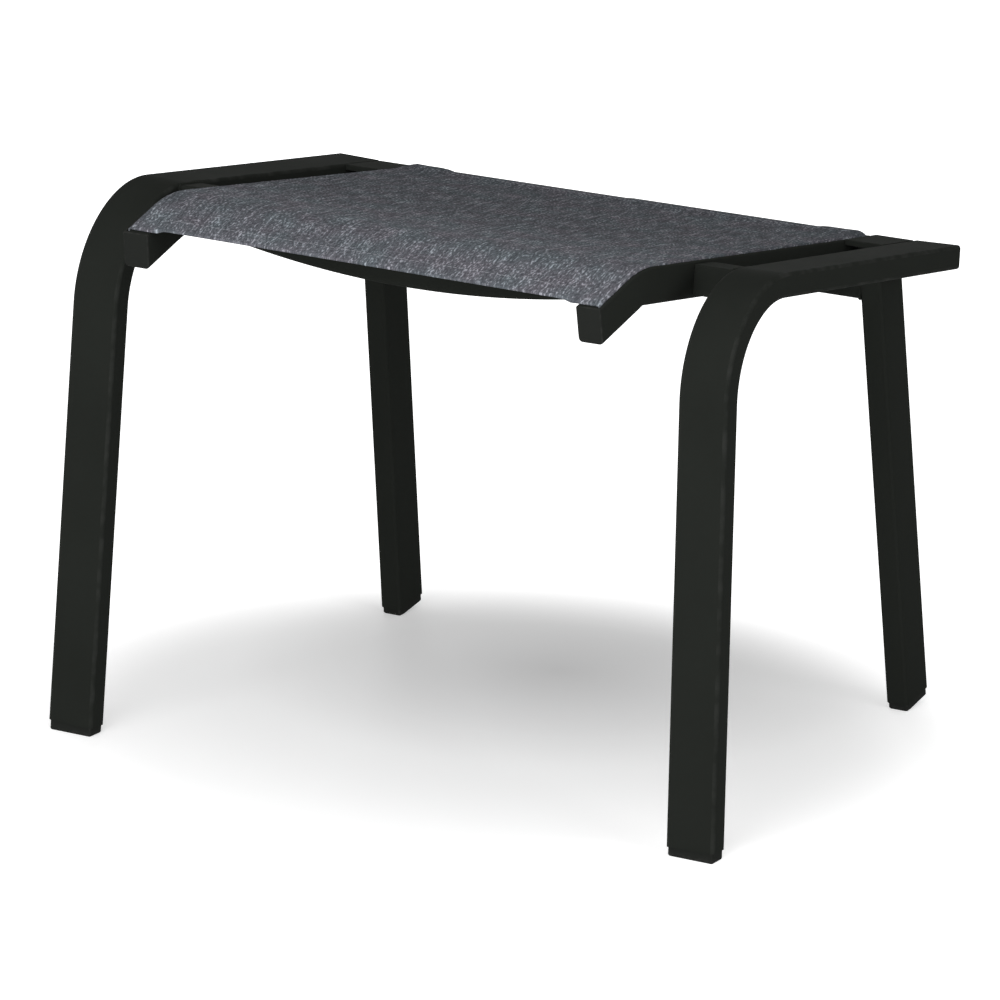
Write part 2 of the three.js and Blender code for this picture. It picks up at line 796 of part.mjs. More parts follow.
// Plug in an end of the spreader, with a pin that drops into the rail
function spreaderPlug(side) {
  const end = spreaderEnd(side);
  const outwards = spreaderPlugAxis(side);
  const frame = frameAt(end, vec(0, 1, 0), vec(-side * outwards.z, 0, side * outwards.x));
  const wide = spreaderDeep - 2 * spreaderWall - 2 * plugClearance;
  const tall = spreaderTall - 2 * spreaderWall - 2 * plugClearance;
  const loop = roundedRectangle(wide, tall, 2, 2);
  const ringAt = (along) => loop.map((p) => frame.at(p.x, p.y).addScaledVector(outwards, along));
  const stub = loftRings([ringAt(-20), ringAt(-2.2)], [[0, loop.length]], sectionFaces(loop, []));
  const pin = turnedBody(end, outwards, [[-6, spreaderPinRadius], [4.5, spreaderPinRadius], [5.5, 3]]);
  return joinUp([stub, pin]);
}

// Short tube between the bar and the rail
function frontConnector(side) {
  const fall = rad(barFallDeg);
  const back = vec(0, Math.cos(fall), -Math.sin(fall));
  const up = vec(0, Math.sin(fall), Math.cos(fall));
  const plane = archPlane(side);
  const top = plane.at(-archTubeWide / 2, connectorMidY, barTopAt(connectorMidY) - flushDrop);
  const middle = top.addScaledVector(up, -connectorTall / 2);
  const outline = roundedRectangle(connectorDeep, connectorTall, 1.5, 2);
  const inner = roundedRectangle(connectorDeep - 2 * connectorWall, connectorTall - 2 * connectorWall, 0.6, 1);
  const frames = [frameAt(middle.clone(), back, up), frameAt(middle.clone(), back, up)];
  const across = vec(side, 0, 0);
  return sweepSection(outline, [inner], frames, [
    { ring: 0, direction: across, plane: shiftPlane(railFace(side, 1), seatGap) },
    { ring: 1, direction: across, plane: shiftPlane(plane.face(-archTubeWide / 2), -seatGap) },
  ]);
}

// Flush plate over the top of a rear leg, from the bar to the rail
function rearCapPlate(side) {
  const fall = rad(barFallDeg);
  const back = vec(0, Math.cos(fall), -Math.sin(fall));
  const up = vec(0, Math.sin(fall), Math.cos(fall));
  const plane = archPlane(side);
  const midY = (capPlateFrontY + capPlateBackY) / 2;
  const long = (capPlateBackY - capPlateFrontY) / Math.cos(fall);
  const top = plane.at(-archTubeWide / 2, midY, barTopAt(midY) - flushDrop);
  const middle = top.addScaledVector(up, -capPlateThick / 2);
  const outline = roundedRectangle(long, capPlateThick, 0.8, 2);
  const across = vec(side, 0, 0);
  return sweepSection(outline, [], [frameAt(middle, back, up), frameAt(middle.clone(), back, up)], [
    { ring: 0, direction: across, plane: shiftPlane(railFace(side, 1), seatGap) },
    { ring: 1, direction: across, plane: shiftPlane(plane.face(-archTubeWide / 2), -seatGap) },
  ]);
}

// Height of the underside of the rails over a given depth
function railUnderside(y) {
  const frame = railFrameAtY(1, y);
  return Math.min(frame.at(-railWide / 2, -railTall / 2).z, frame.at(railWide / 2, -railTall / 2).z);
}

// Section middle of the cross tube
function crossTubeMiddle() {
  const fall = rad(railFallDeg);
  const midY = crossTubeFrontY + (crossTubeDeep / 2) * Math.cos(fall);
  return vec(0, midY, railUnderside(midY) - seatGap - crossTubeTall / 2 / Math.cos(fall));
}

function rearCrossTube() {
  const fall = rad(railFallDeg);
  const back = vec(0, Math.cos(fall), -Math.sin(fall));
  const up = vec(0, Math.sin(fall), Math.cos(fall));
  const middle = crossTubeMiddle();
  const outline = roundedRectangle(crossTubeDeep, crossTubeTall, crossTubeCorner);
  const inner = roundedRectangle(crossTubeDeep - 2 * crossTubeWall, crossTubeTall - 2 * crossTubeWall, 0.6, 2);
  const frames = [frameAt(middle.clone(), back, up), frameAt(middle.clone(), back, up)];
  const tube = sweepSection(outline, [inner], frames, [
    { ring: 0, direction: vec(1, 0, 0), plane: shiftPlane(rearPlane(-1).face(-rearTubeThick / 2), -seatGap) },
    { ring: 1, direction: vec(1, 0, 0), plane: shiftPlane(rearPlane(1).face(-rearTubeThick / 2), -seatGap) },
  ]);
  const shankHole = boltRadius + boreClearance;
  const nutHole = nutFlangeRadius + 0.5;
  const cutters = [-1, 1].flatMap((side) => {
    const { point, axis } = crossScrew(side);
    const depth = crossTubeTall / 2;
    return [
      turnedBody(point, axis, [[-crossTubeTall - 8, shankHole], [-depth, shankHole]]),
      turnedBody(point, axis, [[-depth, nutHole], [4, nutHole]]),
    ];
  });
  return cutAway(tube, cutters);
}

// Bolt with a button head, shank pointing along the axis from under the head
function bolt(under, axis, length) {
  return turnedBody(under, axis, [
    [-boltHeadTall, boltHeadRadius * 0.62],
    [-boltHeadTall * 0.45, boltHeadRadius * 0.92],
    [0, boltHeadRadius],
    [0, boltRadius],
    [length - 0.8, boltRadius],
    [length, boltRadius - 0.7],
  ]);
}

// Threaded insert: flange on the wall's face, body through the wall
function insertNut(face, axis) {
  return turnedBody(face, axis, [
    [-nutFlangeThick - seatGap, nutFlangeRadius],
    [-seatGap, nutFlangeRadius],
    [-seatGap, nutBodyRadius],
    [nutBodyLength, nutBodyRadius],
  ], boltRadius + threadClearance);
}

function legBolt(side, p) {
  const axis = rearPlane(side).across;
  const head = slideTo(p, axis, shiftPlane(rearPlane(side).face(-rearTubeThick / 2), -seatGap));
  return bolt(head, axis, rearTubeThick + 16);
}

// Sleeve on a leg bolt, between the leg and the insert in the end frame
function legSleeve(side, p) {
  const axis = rearPlane(side).across;
  const start = slideTo(p, axis, shiftPlane(rearPlane(side).face(rearTubeThick / 2), seatGap));
  const end = slideTo(p, axis, archPlane(side).face(-archTubeWide / 2));
  const reach = start.distanceTo(end) - nutFlangeThick - 2 * seatGap;
  return turnedBody(start, axis, [[0, sleeveRadius], [reach, sleeveRadius]], boltRadius + boreClearance);
}

function legInsertNut(side, p) {
  const axis = rearPlane(side).across;
  return insertNut(slideTo(p, axis, archPlane(side).face(-archTubeWide / 2)), axis);
}

function railBolt(side) {
  const { point, axis } = connectorBolt(side);
  const head = slideTo(point, axis, shiftPlane(railFace(side, -1), seatGap));
  return bolt(head, axis, railWide + connectorInsertReach);
}

// Threaded block inside the connector that the rail bolt screws into
function connectorInsert(side) {
  const { point, axis } = connectorBolt(side);
  const start = slideTo(point, axis, shiftPlane(railFace(side, 1), 2));
  const profile = [[0, connectorInsertRadius], [connectorInsertReach, connectorInsertRadius]];
  return turnedBody(start, axis, profile, boltRadius + threadClearance);
}

// Screw up through the cross tube; its head keeps clear of the tube all round
function crossTubeScrew(side) {
  const { point, axis } = crossScrew(side);
  const fall = rad(railFallDeg);
  const normal = vec(0, Math.sin(fall), Math.cos(fall));
  const below = { point: crossTubeMiddle().addScaledVector(normal, -crossTubeTall / 2), normal };
  const tilt = Math.acos(Math.abs(axis.dot(normal)));
  const head = slideTo(point, axis, below).addScaledVector(axis, -seatGap - boltHeadRadius * Math.tan(tilt));
  return bolt(head, axis, crossTubeTall + nutBodyLength);
}

function railInsertNut(side) {
  const { point, axis } = crossScrew(side);
  return insertNut(point, axis);
}

// Rod that holds the sling's edge in the groove
function kederRod(side) {
  const grooveB = railTall / 2 - grooveDepth;
  const segments = 8;
  const loop = [];
  for (let i = 0; i < segments; i++) {
    const angle = (2 * Math.PI * i) / segments;
    loop.push(flat(
      grooveCentreAcross + kederRodRadius * Math.cos(angle),
      grooveB + kederRodRadius * Math.sin(angle),
    ));
  }
  return sweepSection(loop, [], slingStations(side).map((y) => railFrameAtY(side, y)));
}

// Depths of the sling's front and back edges on one side, measured on the middle of the rail
function slingEnds(side) {
  const line = railCentreLine();
  const frontInset = side < 0 ? slingFrontInsetLeft : slingFrontInsetRight;
  return [line[line.length - 1].y + frontInset, line[0].y - slingBackInset];
}

// Depths at which the sling is drawn on one side, front to back
function slingStations(side) {
  const [front, back] = slingEnds(side);
  const knee = railCentreLine().slice(1, -1).map((place) => place.y).reverse();
  const start = knee[knee.length - 1];
  const steps = 6;
  const straight = [];
  for (let i = 1; i <= steps; i++) {
    straight.push(start + ((back - start) * i) / steps);
  }
  return [front, (front + knee[0]) / 2, ...knee, ...straight];
}

// Middle line of the sling's edge in rail coordinates, from inside the loop to the rail's inner edge
function slingEdgeLine() {
  const grooveB = railTall / 2 - grooveDepth;
  const ring = kederRodRadius + 0.15 + slingThick / 2;
  const meet = Math.acos((slotCentre - grooveCentreAcross) / ring);
  const start = meet + rad(28);
  const line = [];
  const steps = 9;
  for (let i = 0; i <= steps; i++) {
    const angle = start + ((meet + 2 * Math.PI - start) * i) / steps;
    line.push(flat(grooveCentreAcross + ring * Math.cos(angle), grooveB + ring * Math.sin(angle)));
  }
  const top = railTall / 2 + slingLift;
  line.push(flat(slotCentre, top - 0.9));
  line.push(flat(slotCentre - 0.25, top - 0.25));
  line.push(flat(slotCentre - 0.9, top));
  line.push(flat(-railWide / 2, top));
  return line;
}

// Sag of the sling below the straight line between the rails
function slingSagAt(y, share) {
  const [front, back] = slingEnds(1);
  const along = (y - front) / (back - front);
  const inside = Math.max(0, Math.min(1, along));
  return slingSag * Math.sin(Math.PI * inside) * (1 - share * share);
}

// The woven sling: rolled round both rods, out through the slots and across between the rails
function slingFabric() {
  const edge = slingEdgeLine();
  const spans = 10;
  const rightStations = slingStations(1);
  const rings = slingStations(-1).map((leftY, station) => {
    const y = rightStations[station];
    const left = railFrameAtY(-1, leftY);
    const right = railFrameAtY(1, y);
    const middle = edge.map((p) => left.at(p.x, p.y));
    const from = middle[middle.length - 1];
    const to = right.at(edge[edge.length - 1].x, edge[edge.length - 1].y);
    for (let i = 1; i < spans; i++) {
      const share = (2 * i) / spans - 1;
      const p = from.clone().lerp(to, i / spans);
      p.z -= slingSagAt(y, share);
      middle.push(p);
    }
    middle.push(...edge.slice().reverse().map((p) => right.at(p.x, p.y)));
    return thickRing(middle, left);
  });
  const count = rings[0].length / 2;
  const faces = [];
  for (let i = 0; i + 1 < count; i++) {
    const a = i;
    const b = i + 1;
    const c = 2 * count - 1 - i;
    const d = 2 * count - 2 - i;
    faces.push([a, b, d], [a, d, c]);
  }
  return loftRings(rings, [[0, 2 * count]], faces);
}

// Give a line of points a thickness, square to the line and across the path of the rail
function thickRing(middle, frame) {
  const path = frame.across.clone().cross(frame.up).normalize();
  const over = [];
  const under = [];
  middle.forEach((p, i) => {
    const before = middle[Math.max(0, i - 1)];
    const after = middle[Math.min(middle.length - 1, i + 1)];
    const normal = after.clone().sub(before).cross(path).normalize();
    over.push(p.clone().addScaledVector(normal, slingThick / 2));
    under.push(p.clone().addScaledVector(normal, -slingThick / 2));
  });
  return [...over, ...under.reverse()];
}

for (const [side, word] of [[-1, 'left'], [1, 'right']]) {
  addPiece(`${word}_end_frame`, archFrame(side), 'frame');
  addPiece(`${word}_end_frame_cap`, archEndCap(side), 'plastic');
  addPiece(`${word}_rear_leg`, rearLeg(side), 'frame');
  addPiece(`${word}_front_glide`, frontGlide(side), 'plastic');
  addPiece(`${word}_rear_glide`, rearGlide(side), 'plastic');
  addPiece(`${word}_rear_cap_plate`, rearCapPlate(side), 'frame');
  addPiece(`${word}_front_connector`, frontConnector(side), 'frame');
  addPiece(`${word}_sling_rail`, slingRail(side), 'rail');
  addPiece(`${word}_rail_front_cap`, railEndCap(side, true), 'plastic');
  addPiece(`${word}_rail_back_cap`, railEndCap(side, false), 'plastic');
  addPiece(`${word}_keder_rod`, kederRod(side), 'keder');
  addPiece(`${word}_spreader_plug`, spreaderPlug(side), 'plastic');
  addPiece(`${word}_rail_bolt`, railBolt(side), 'steel');
  addPiece(`${word}_connector_insert`, connectorInsert(side), 'steel');
  addPiece(`${word}_cross_tube_screw`, crossTubeScrew(side), 'steel');
  addPiece(`${word}_rail_insert_nut`, railInsertNut(side), 'steel');
  legBoltPoints(side).forEach((p, i) => {
    const place = ['front', 'back'][i];
    addPiece(`${word}_${place}_leg_bolt`, legBolt(side, p), 'steel');
    addPiece(`${word}_${place}_leg_sleeve`, legSleeve(side, p), 'plastic');
    addPiece(`${word}_${place}_leg_insert_nut`, legInsertNut(side, p), 'steel');
  });
}
addPiece('rear_cross_tube', rearCrossTube(), 'frame');
addPiece('front_spreader_bar', frontSpreader(), 'frame');
addPiece('sling_fabric', slingFabric(), 'sling');

export default stool;
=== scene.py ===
"""Looks of an outdoor footstool: a woven sling between two bent rails, on a charcoal tube frame.

Sizes in the classes are millimetres; a mesh is turned to metres when it is finished.
X runs across the stool, Y from front to back and Z up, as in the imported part.
"""

import json
import logging
import math
from collections.abc import Iterable
from dataclasses import astuple, dataclass, field
from enum import Enum

import bmesh
import bpy
from mathutils import Matrix, Vector

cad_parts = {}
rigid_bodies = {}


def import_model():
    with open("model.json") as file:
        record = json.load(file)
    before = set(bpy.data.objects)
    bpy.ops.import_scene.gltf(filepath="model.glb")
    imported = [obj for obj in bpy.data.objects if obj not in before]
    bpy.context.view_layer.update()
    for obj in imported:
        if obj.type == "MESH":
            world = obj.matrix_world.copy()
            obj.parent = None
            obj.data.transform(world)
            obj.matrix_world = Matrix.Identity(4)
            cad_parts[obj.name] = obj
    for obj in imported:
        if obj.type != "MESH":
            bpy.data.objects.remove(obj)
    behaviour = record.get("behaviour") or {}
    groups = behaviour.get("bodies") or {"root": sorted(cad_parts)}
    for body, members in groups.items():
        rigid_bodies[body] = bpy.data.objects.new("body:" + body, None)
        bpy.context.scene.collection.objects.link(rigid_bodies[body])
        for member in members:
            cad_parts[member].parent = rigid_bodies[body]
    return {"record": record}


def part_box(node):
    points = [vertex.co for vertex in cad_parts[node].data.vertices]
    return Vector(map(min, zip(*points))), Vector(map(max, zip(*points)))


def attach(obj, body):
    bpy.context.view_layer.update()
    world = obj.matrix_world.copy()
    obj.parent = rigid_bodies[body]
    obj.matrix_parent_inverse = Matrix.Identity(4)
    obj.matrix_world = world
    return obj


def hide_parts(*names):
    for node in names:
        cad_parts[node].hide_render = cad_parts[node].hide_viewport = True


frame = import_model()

MM = 0.001
CORNER_STEPS = 5
LEAST_RADIUS = 0.6
WHITE = (1.0, 1.0, 1.0, 1.0)
BMesh = bmesh.types.BMesh
Material = bpy.types.Material
Socket = bpy.types.NodeSocket
Input = Socket | float | tuple
Sockets = bpy.types.bpy_prop_collection
Points = list[tuple[float, float]]
log = logging.getLogger("footstool")


class Side(Enum):
    """Left and right half of the stool, as seen from the front."""

    LEFT = -1
    RIGHT = 1

    @property
    def word(self) -> str:
        """Name used for the pieces on this side."""
        return self.name.lower()

    @property
    def out(self) -> Vector:
        """Direction away from the stool's middle."""
        return Vector((self.value, 0.0, 0.0))


class Slot(Enum):
    """Material slots of the part's record."""

    FRAME = "frame"
    PLASTIC = "plastic"
    SLING = "sling"
    KEDER = "keder"
    STEEL = "steel"


# Paths and sections


def basis(across: Vector, up: Vector, out: Vector, origin: Vector) -> Matrix:
    """Matrix with the given axes and origin."""
    return Matrix.Translation(origin) @ Matrix((across, up, out)).transposed().to_4x4()


@dataclass(frozen=True)
class Plane:
    """A plane by a point on it and its normal."""

    point: Vector
    normal: Vector

    def shifted(self, distance: float) -> "Plane":
        """The plane moved along its normal."""
        return Plane(self.point + self.normal * distance, self.normal)

    def slide(self, start: Vector, direction: Vector) -> Vector:
        """Move a point along a direction until it meets the plane."""
        return start + direction * ((self.point - start).dot(self.normal) / direction.dot(self.normal))


@dataclass(frozen=True)
class Place:
    """A station on a path: where a section sits and how it is turned."""

    origin: Vector
    across: Vector
    up: Vector

    def at(self, a: float, b: float) -> Vector:
        """Point of the section at a across and b up."""
        return self.origin + self.across * a + self.up * b

    def matrix(self, size: float = 1.0) -> Matrix:
        """Turns a section drawn in XY into this station, at a size."""
        return basis(self.across, self.up, self.across.cross(self.up), self.origin) @ Matrix.Scale(size, 4)

    def moved(self, step: Vector) -> "Place":
        """The same station moved by a step."""
        return Place(self.origin + step, self.across, self.up)


@dataclass(frozen=True)
class CantedPlane:
    """The leaning plane that a side member lies in.

    Args:
        side: left or right.
        half_span: distance from the middle of the stool to the plane at the floor.
        cant: lean in degrees, towards the middle at the top.
    """

    side: Side
    half_span: float
    cant: float

    @property
    def across(self) -> Vector:
        """Outward direction, square to the plane."""
        lean = math.radians(self.cant)
        return Vector((self.side.value * math.cos(lean), 0.0, math.sin(lean)))

    @property
    def rise(self) -> Vector:
        """Upward direction in the plane."""
        lean = math.radians(self.cant)
        return Vector((-self.side.value * math.sin(lean), 0.0, math.cos(lean)))

    def at(self, out: float, y: float, height: float) -> Vector:
        """Point at a distance outwards, a depth and a height along the plane."""
        foot = Vector((self.side.value * self.half_span, y, 0.0))
        return foot + self.across * out + self.rise * height

    def face(self, out: float) -> Plane:
        """The parallel plane at a distance outwards."""
        return Plane(self.at(out, 0.0, 0.0), self.across)


def sloped(fall_degrees: float) -> tuple[Vector, Vector]:
    """Directions back and up along a member that falls towards the back."""
    fall = math.radians(fall_degrees)
    return Vector((0.0, math.cos(fall), -math.sin(fall))), Vector((0.0, math.sin(fall), math.cos(fall)))


def smooth_step(value: float) -> float:
    """Ease from 0 to 1 as the value goes from 0 to 1."""
    value = min(1.0, max(0.0, value))
    return value * value * (3.0 - 2.0 * value)


def fade(distance: float, start: float, length: float) -> float:
    """Ease from 1 to 0 over a length that begins at a distance."""
    return 1.0 - smooth_step((distance - start) / length)


def mean(points: list[Vector]) -> Vector:
    """Middle of some points."""
    return sum(points, Vector()) / len(points)


def once(items: Iterable) -> list:
    """The items in order, each once."""
    return list(dict.fromkeys(items))


def verts_of(edges: list) -> list:
    """The corners of some edges, each once."""
    return once(v for e in edges for v in e.verts)


def bevel(bm: BMesh, geom: list, reach: float, steps: int, affect: str = "EDGES") -> list:
    """Round some edges or corners.

    Args:
        bm: mesh that holds them.
        geom: the edges or corners.
        reach: how far the rounding reaches from them.
        steps: segments of the rounding.
        affect: EDGES or VERTICES.

    Returns:
        The new corners.
    """
    return bmesh.ops.bevel(
        bm, geom=geom, offset=reach, offset_type="OFFSET", segments=steps, profile=0.5,
        affect=affect, material=-1, clamp_overlap=affect == "EDGES",
    )["verts"]


def rounded_section(
    bm: BMesh, wide: float, tall: float, radius: float, steps: int, low: float = 0.0
) -> list:
    """Edges of a rectangle with rounded corners, centred in XY.

    Args:
        bm: mesh that gets the section.
        wide: size along X.
        tall: size along Y.
        radius: corner radius.
        steps: segments in each corner.
        low: radius of the two lower corners, or 0 for the same.

    Returns:
        The closed loop's edges.
    """
    made = bmesh.ops.create_grid(bm, x_segments=1, y_segments=1, size=0.5)["verts"]
    bmesh.ops.scale(bm, vec=(wide, tall, 1.0), verts=made)
    upper, lower = [v for v in made if v.co.y > 0], [v for v in made if v.co.y < 0]
    rounded = set(bevel(bm, upper, radius, steps, "VERTICES"))
    rounded.update(bevel(bm, lower, low or radius, steps, "VERTICES"))
    faces = [f for f in bm.faces if rounded.issuperset(f.verts)]
    edges = once(e for f in faces for e in f.edges)
    bmesh.ops.delete(bm, geom=faces, context="FACES_ONLY")
    return edges


def drawn_section(bm: BMesh, points: Points) -> list:
    """Edges of a closed outline through some points in XY."""
    verts = [bm.verts.new((x, y, 0.0)) for x, y in points]
    return [bm.edges.new((verts[i - 1], verts[i])) for i in range(len(verts))]


def circle(bm: BMesh, radius: float, steps: int) -> list:
    """Edges of a regular polygon about the origin in XY."""
    verts = bmesh.ops.create_circle(bm, cap_ends=False, segments=steps, radius=radius)["verts"]
    return once(e for v in verts for e in v.link_edges)


def sweep(bm: BMesh, edges: list, places: list[Place], swell: list[float] | None = None) -> list:
    """Carry section loops from station to station by extrusion.

    Args:
        bm: mesh that holds the section, drawn in XY about its origin.
        edges: the section's edges.
        places: stations in order.
        swell: size of the section at each station, 1 for as drawn.

    Returns:
        The edges of the last ring.
    """
    turns = [place.matrix(size) for place, size in zip(places, swell or [1.0] * len(places))]
    bmesh.ops.transform(bm, matrix=turns[0], verts=verts_of(edges))
    for here, there in zip(turns, turns[1:]):
        out = bmesh.ops.extrude_edge_only(bm, edges=edges)["geom"]
        verts = [g for g in out if isinstance(g, bmesh.types.BMVert)]
        edges = [g for g in out if isinstance(g, bmesh.types.BMEdge) and g.is_boundary]
        bmesh.ops.transform(bm, matrix=there @ here.inverted(), verts=verts)
    return edges


def close_ends(bm: BMesh, *loops: list) -> None:
    """Close each of the given open loops with one face."""
    for edges in loops:
        bmesh.ops.edgeloop_fill(bm, edges=edges)


def box_tube(bm: BMesh, wide: float, tall: float, radius: float, wall: float, places: list[Place]) -> None:
    """Hollow tube of rounded rectangular section with closed rims.

    Args:
        bm: empty mesh that gets the tube.
        wide: section size across.
        tall: section size upwards.
        radius: outer corner radius.
        wall: wall thickness.
        places: stations in order.
    """
    bore, inner_radius = (wide - 2 * wall, tall - 2 * wall), max(radius - wall, LEAST_RADIUS)
    outer = rounded_section(bm, wide, tall, radius, CORNER_STEPS)
    inner = rounded_section(bm, *bore, inner_radius, CORNER_STEPS)
    outer_end, inner_end = sweep(bm, outer, places), sweep(bm, inner, places)
    bmesh.ops.bridge_loops(bm, edges=outer + inner)
    bmesh.ops.bridge_loops(bm, edges=outer_end + inner_end)


def in_scene(name: str, data: bpy.types.ID) -> bpy.types.Object:
    """Put a new object in the scene.

    Args:
        name: the object's name.
        data: its mesh, lamp or camera.

    Returns:
        The object.
    """
    made = bpy.data.objects.new(name, data)
    bpy.context.scene.collection.objects.link(made)
    return made


# Node graphs


class Graph:
    """Adds nodes to one node tree with their values and links."""

    def __init__(self, tree: bpy.types.NodeTree) -> None:
        """Keep the tree to build in."""
        self.tree = tree

    @classmethod
    def of(cls, owner: bpy.types.ID) -> "Graph":
        """Empty the nodes of a material or a world.

        Args:
            owner: the material or the world.

        Returns:
            Its graph.
        """
        owner.use_nodes = True
        owner.node_tree.nodes.clear()
        return cls(owner.node_tree)

    def add(self, kind: str, inputs: dict | None = None, **settings: object) -> bpy.types.Node:
        """Add a node.

        Args:
            kind: node type name.
            inputs: value or socket for each input, by name or number.
            settings: properties of the node.

        Returns:
            The new node.
        """
        node = self.tree.nodes.new(kind)
        for key, value in settings.items():
            setattr(node, key, value)
        for key, value in (inputs or {}).items():
            if isinstance(value, bpy.types.NodeSocket):
                self.tree.links.new(value, node.inputs[key])
            else:
                node.inputs[key].default_value = value
        return node

    def maths(self, operation: str, first: Input, second: Input = 0.0, clamp: bool = False) -> Socket:
        """One sum of a Math node, as its output socket."""
        settings = {"operation": operation, "use_clamp": clamp}
        return self.add("ShaderNodeMath", {0: first, 1: second}, **settings).outputs[0]

    def spread(
        self,
        value: Socket,
        low: float,
        high: float,
        least: float = 0.0,
        most: float = 1.0,
        **kind: str,
    ) -> Socket:
        """Map a range of values onto another, clamped."""
        names = {"Value": value, "From Min": low, "From Max": high, "To Min": least, "To Max": most}
        return self.add("ShaderNodeMapRange", names, **kind).outputs[0]

    def blend(self, factor: Input, first: Input, second: Input, **kind: str) -> Socket:
        """Mix two colours."""
        names = {0: factor, 6: first, 7: second}
        return self.add("ShaderNodeMix", names, data_type="RGBA", **kind).outputs[2]

    def grey(self, value: Socket) -> Socket:
        """The grey of a value, as a colour."""
        return self.add("ShaderNodeCombineColor", {0: value, 1: value, 2: value}).outputs[0]

    def noise(self, vector: Socket, scale: Input, detail: float = 2.0, roughness: float = 0.5) -> Socket:
        """Noise texture's grey value."""
        names = {"Vector": vector, "Scale": scale, "Detail": detail, "Roughness": roughness}
        return self.add("ShaderNodeTexNoise", names).outputs[0]

    def scaled(self, vector: Socket, scale: tuple) -> Socket:
        """Scale a pattern's coordinates."""
        return self.add("ShaderNodeMapping", {"Vector": vector, "Scale": scale}).outputs[0]

    def marks(self, vector: Socket, wide: float, long: float, turn: float = 0.0) -> Socket:
        """Noise made of marks of one size, turned from the Y axis by an angle."""
        sizes = {"Vector": vector, "Rotation": (0.0, 0.0, turn), "Scale": (wide, long, 1.0)}
        return self.noise(self.add("ShaderNodeMapping", sizes, vector_type="TEXTURE").outputs[0], 1.0, 1.0)

    def bump(self, strength: float, distance: float, height: Socket) -> Socket:
        """Normal of a surface with a height, its distance in metres."""
        names = {"Strength": strength, "Distance": distance, "Height": height}
        return self.add("ShaderNodeBump", names).outputs[0]

    def objects(self) -> Socket:
        """The object's own coordinates."""
        return self.add("ShaderNodeTexCoord").outputs["Object"]

    def axis(self, vector: Socket, index: int) -> Socket:
        """One coordinate of a vector."""
        return self.add("ShaderNodeSeparateXYZ", {0: vector}).outputs[index]

    def distance(self, vector: Socket, point: tuple) -> Socket:
        """Distance from a point."""
        return self.add("ShaderNodeVectorMath", {0: vector, 1: point}, operation="DISTANCE").outputs[1]


def new_group(name: str, ins: dict[str, float | None], outs: list[str]) -> tuple:
    """Start a shader node group with named sockets.

    Args:
        name: the group's name.
        ins: default value of each input, or None for a vector.
        outs: names of the values that it puts out.

    Returns:
        The group, its graph and its input sockets.
    """
    group = bpy.data.node_groups.new(name, "ShaderNodeTree")
    for label, value in ins.items():
        kind = "NodeSocketVector" if value is None else "NodeSocketFloat"
        socket = group.interface.new_socket(name=label, in_out="INPUT", socket_type=kind)
        if value is not None:
            socket.default_value = value
    for label in outs:
        group.interface.new_socket(name=label, in_out="OUTPUT", socket_type="NodeSocketFloat")
    graph = Graph(group)
    return group, graph, graph.add("NodeGroupInput").outputs


@dataclass
class SharedEffects:
    """Node groups that several finishes use, each built once."""

    groups: dict[str, bpy.types.NodeTree] = field(default_factory=dict)

    def place(self, graph: Graph, name: str, inputs: dict) -> Sockets:
        """Put a group into a material.

        Args:
            graph: the material's graph.
            name: which group.
            inputs: its values and links.

        Returns:
            The group's output sockets.
        """
        if name not in self.groups:
            self.groups[name] = getattr(self, f"_make_{name}")()
        return graph.add("ShaderNodeGroup", inputs, node_tree=self.groups[name]).outputs

    def skin(self, graph: Graph, place: Socket, scale: float, drift: float) -> Sockets:
        """Height and drift of a pebbled skin."""
        return self.place(graph, "grain", {"Vector": place, "Scale": scale, "Drift Scale": drift})

    def rubbed(self, graph: Graph, place: Socket, scale: float) -> Socket:
        """Mask of rubbed edges."""
        edge = graph.add("ShaderNodeAttribute", attribute_name="edge_band").outputs["Fac"]
        return self.place(graph, "rub", {"Vector": place, "Edge": edge, "Scale": scale, "Amount": 0.4})[0]

    def _make_grain(self) -> bpy.types.NodeTree:
        """Fine pebbled skin: a height for the bump and a slow drift of tone.

        Returns:
            The group.
        """
        ins = {"Vector": None, "Scale": 900.0, "Drift Scale": 14.0}
        group, graph, start = new_group("pebbled_skin", ins, ["Height", "Drift"])
        fine, slow = graph.noise(start[0], start[1], 3.0), graph.noise(start[0], start[2], 4.0)
        graph.add("NodeGroupOutput", {"Height": fine, "Drift": slow})
        return group

    def _make_rub(self) -> bpy.types.NodeTree:
        """Mask of lightly rubbed coating along the rounded edges.

        Returns:
            The group.
        """
        ins = {"Vector": None, "Edge": 0.0, "Scale": 60.0, "Amount": 0.5}
        group, graph, start = new_group("rubbed_edges", ins, ["Mask"])
        patches = graph.spread(graph.noise(start[0], start[2], 5.0), 0.42, 0.68)
        edge = graph.maths("MULTIPLY", start[1], patches)
        graph.add("NodeGroupOutput", {"Mask": graph.maths("MULTIPLY", edge, start[3])})
        return group

    def _make_dust(self) -> bpy.types.NodeTree:
        """Mask of faint settled dust on faces that look up.

        Returns:
            The group.
        """
        group, graph, start = new_group("settled_dust", {"Vector": None, "Amount": 0.2}, ["Mask"])
        facing = graph.spread(graph.axis(graph.add("ShaderNodeNewGeometry").outputs["Normal"], 2), 0.55, 1.0)
        cloud = graph.spread(graph.noise(start[0], 38.0, 5.0, 0.6), 0.4, 0.75)
        mask = graph.maths("MULTIPLY", graph.maths("MULTIPLY", facing, cloud), start[1])
        graph.add("NodeGroupOutput", {"Mask": mask})
        return group


# Finishes


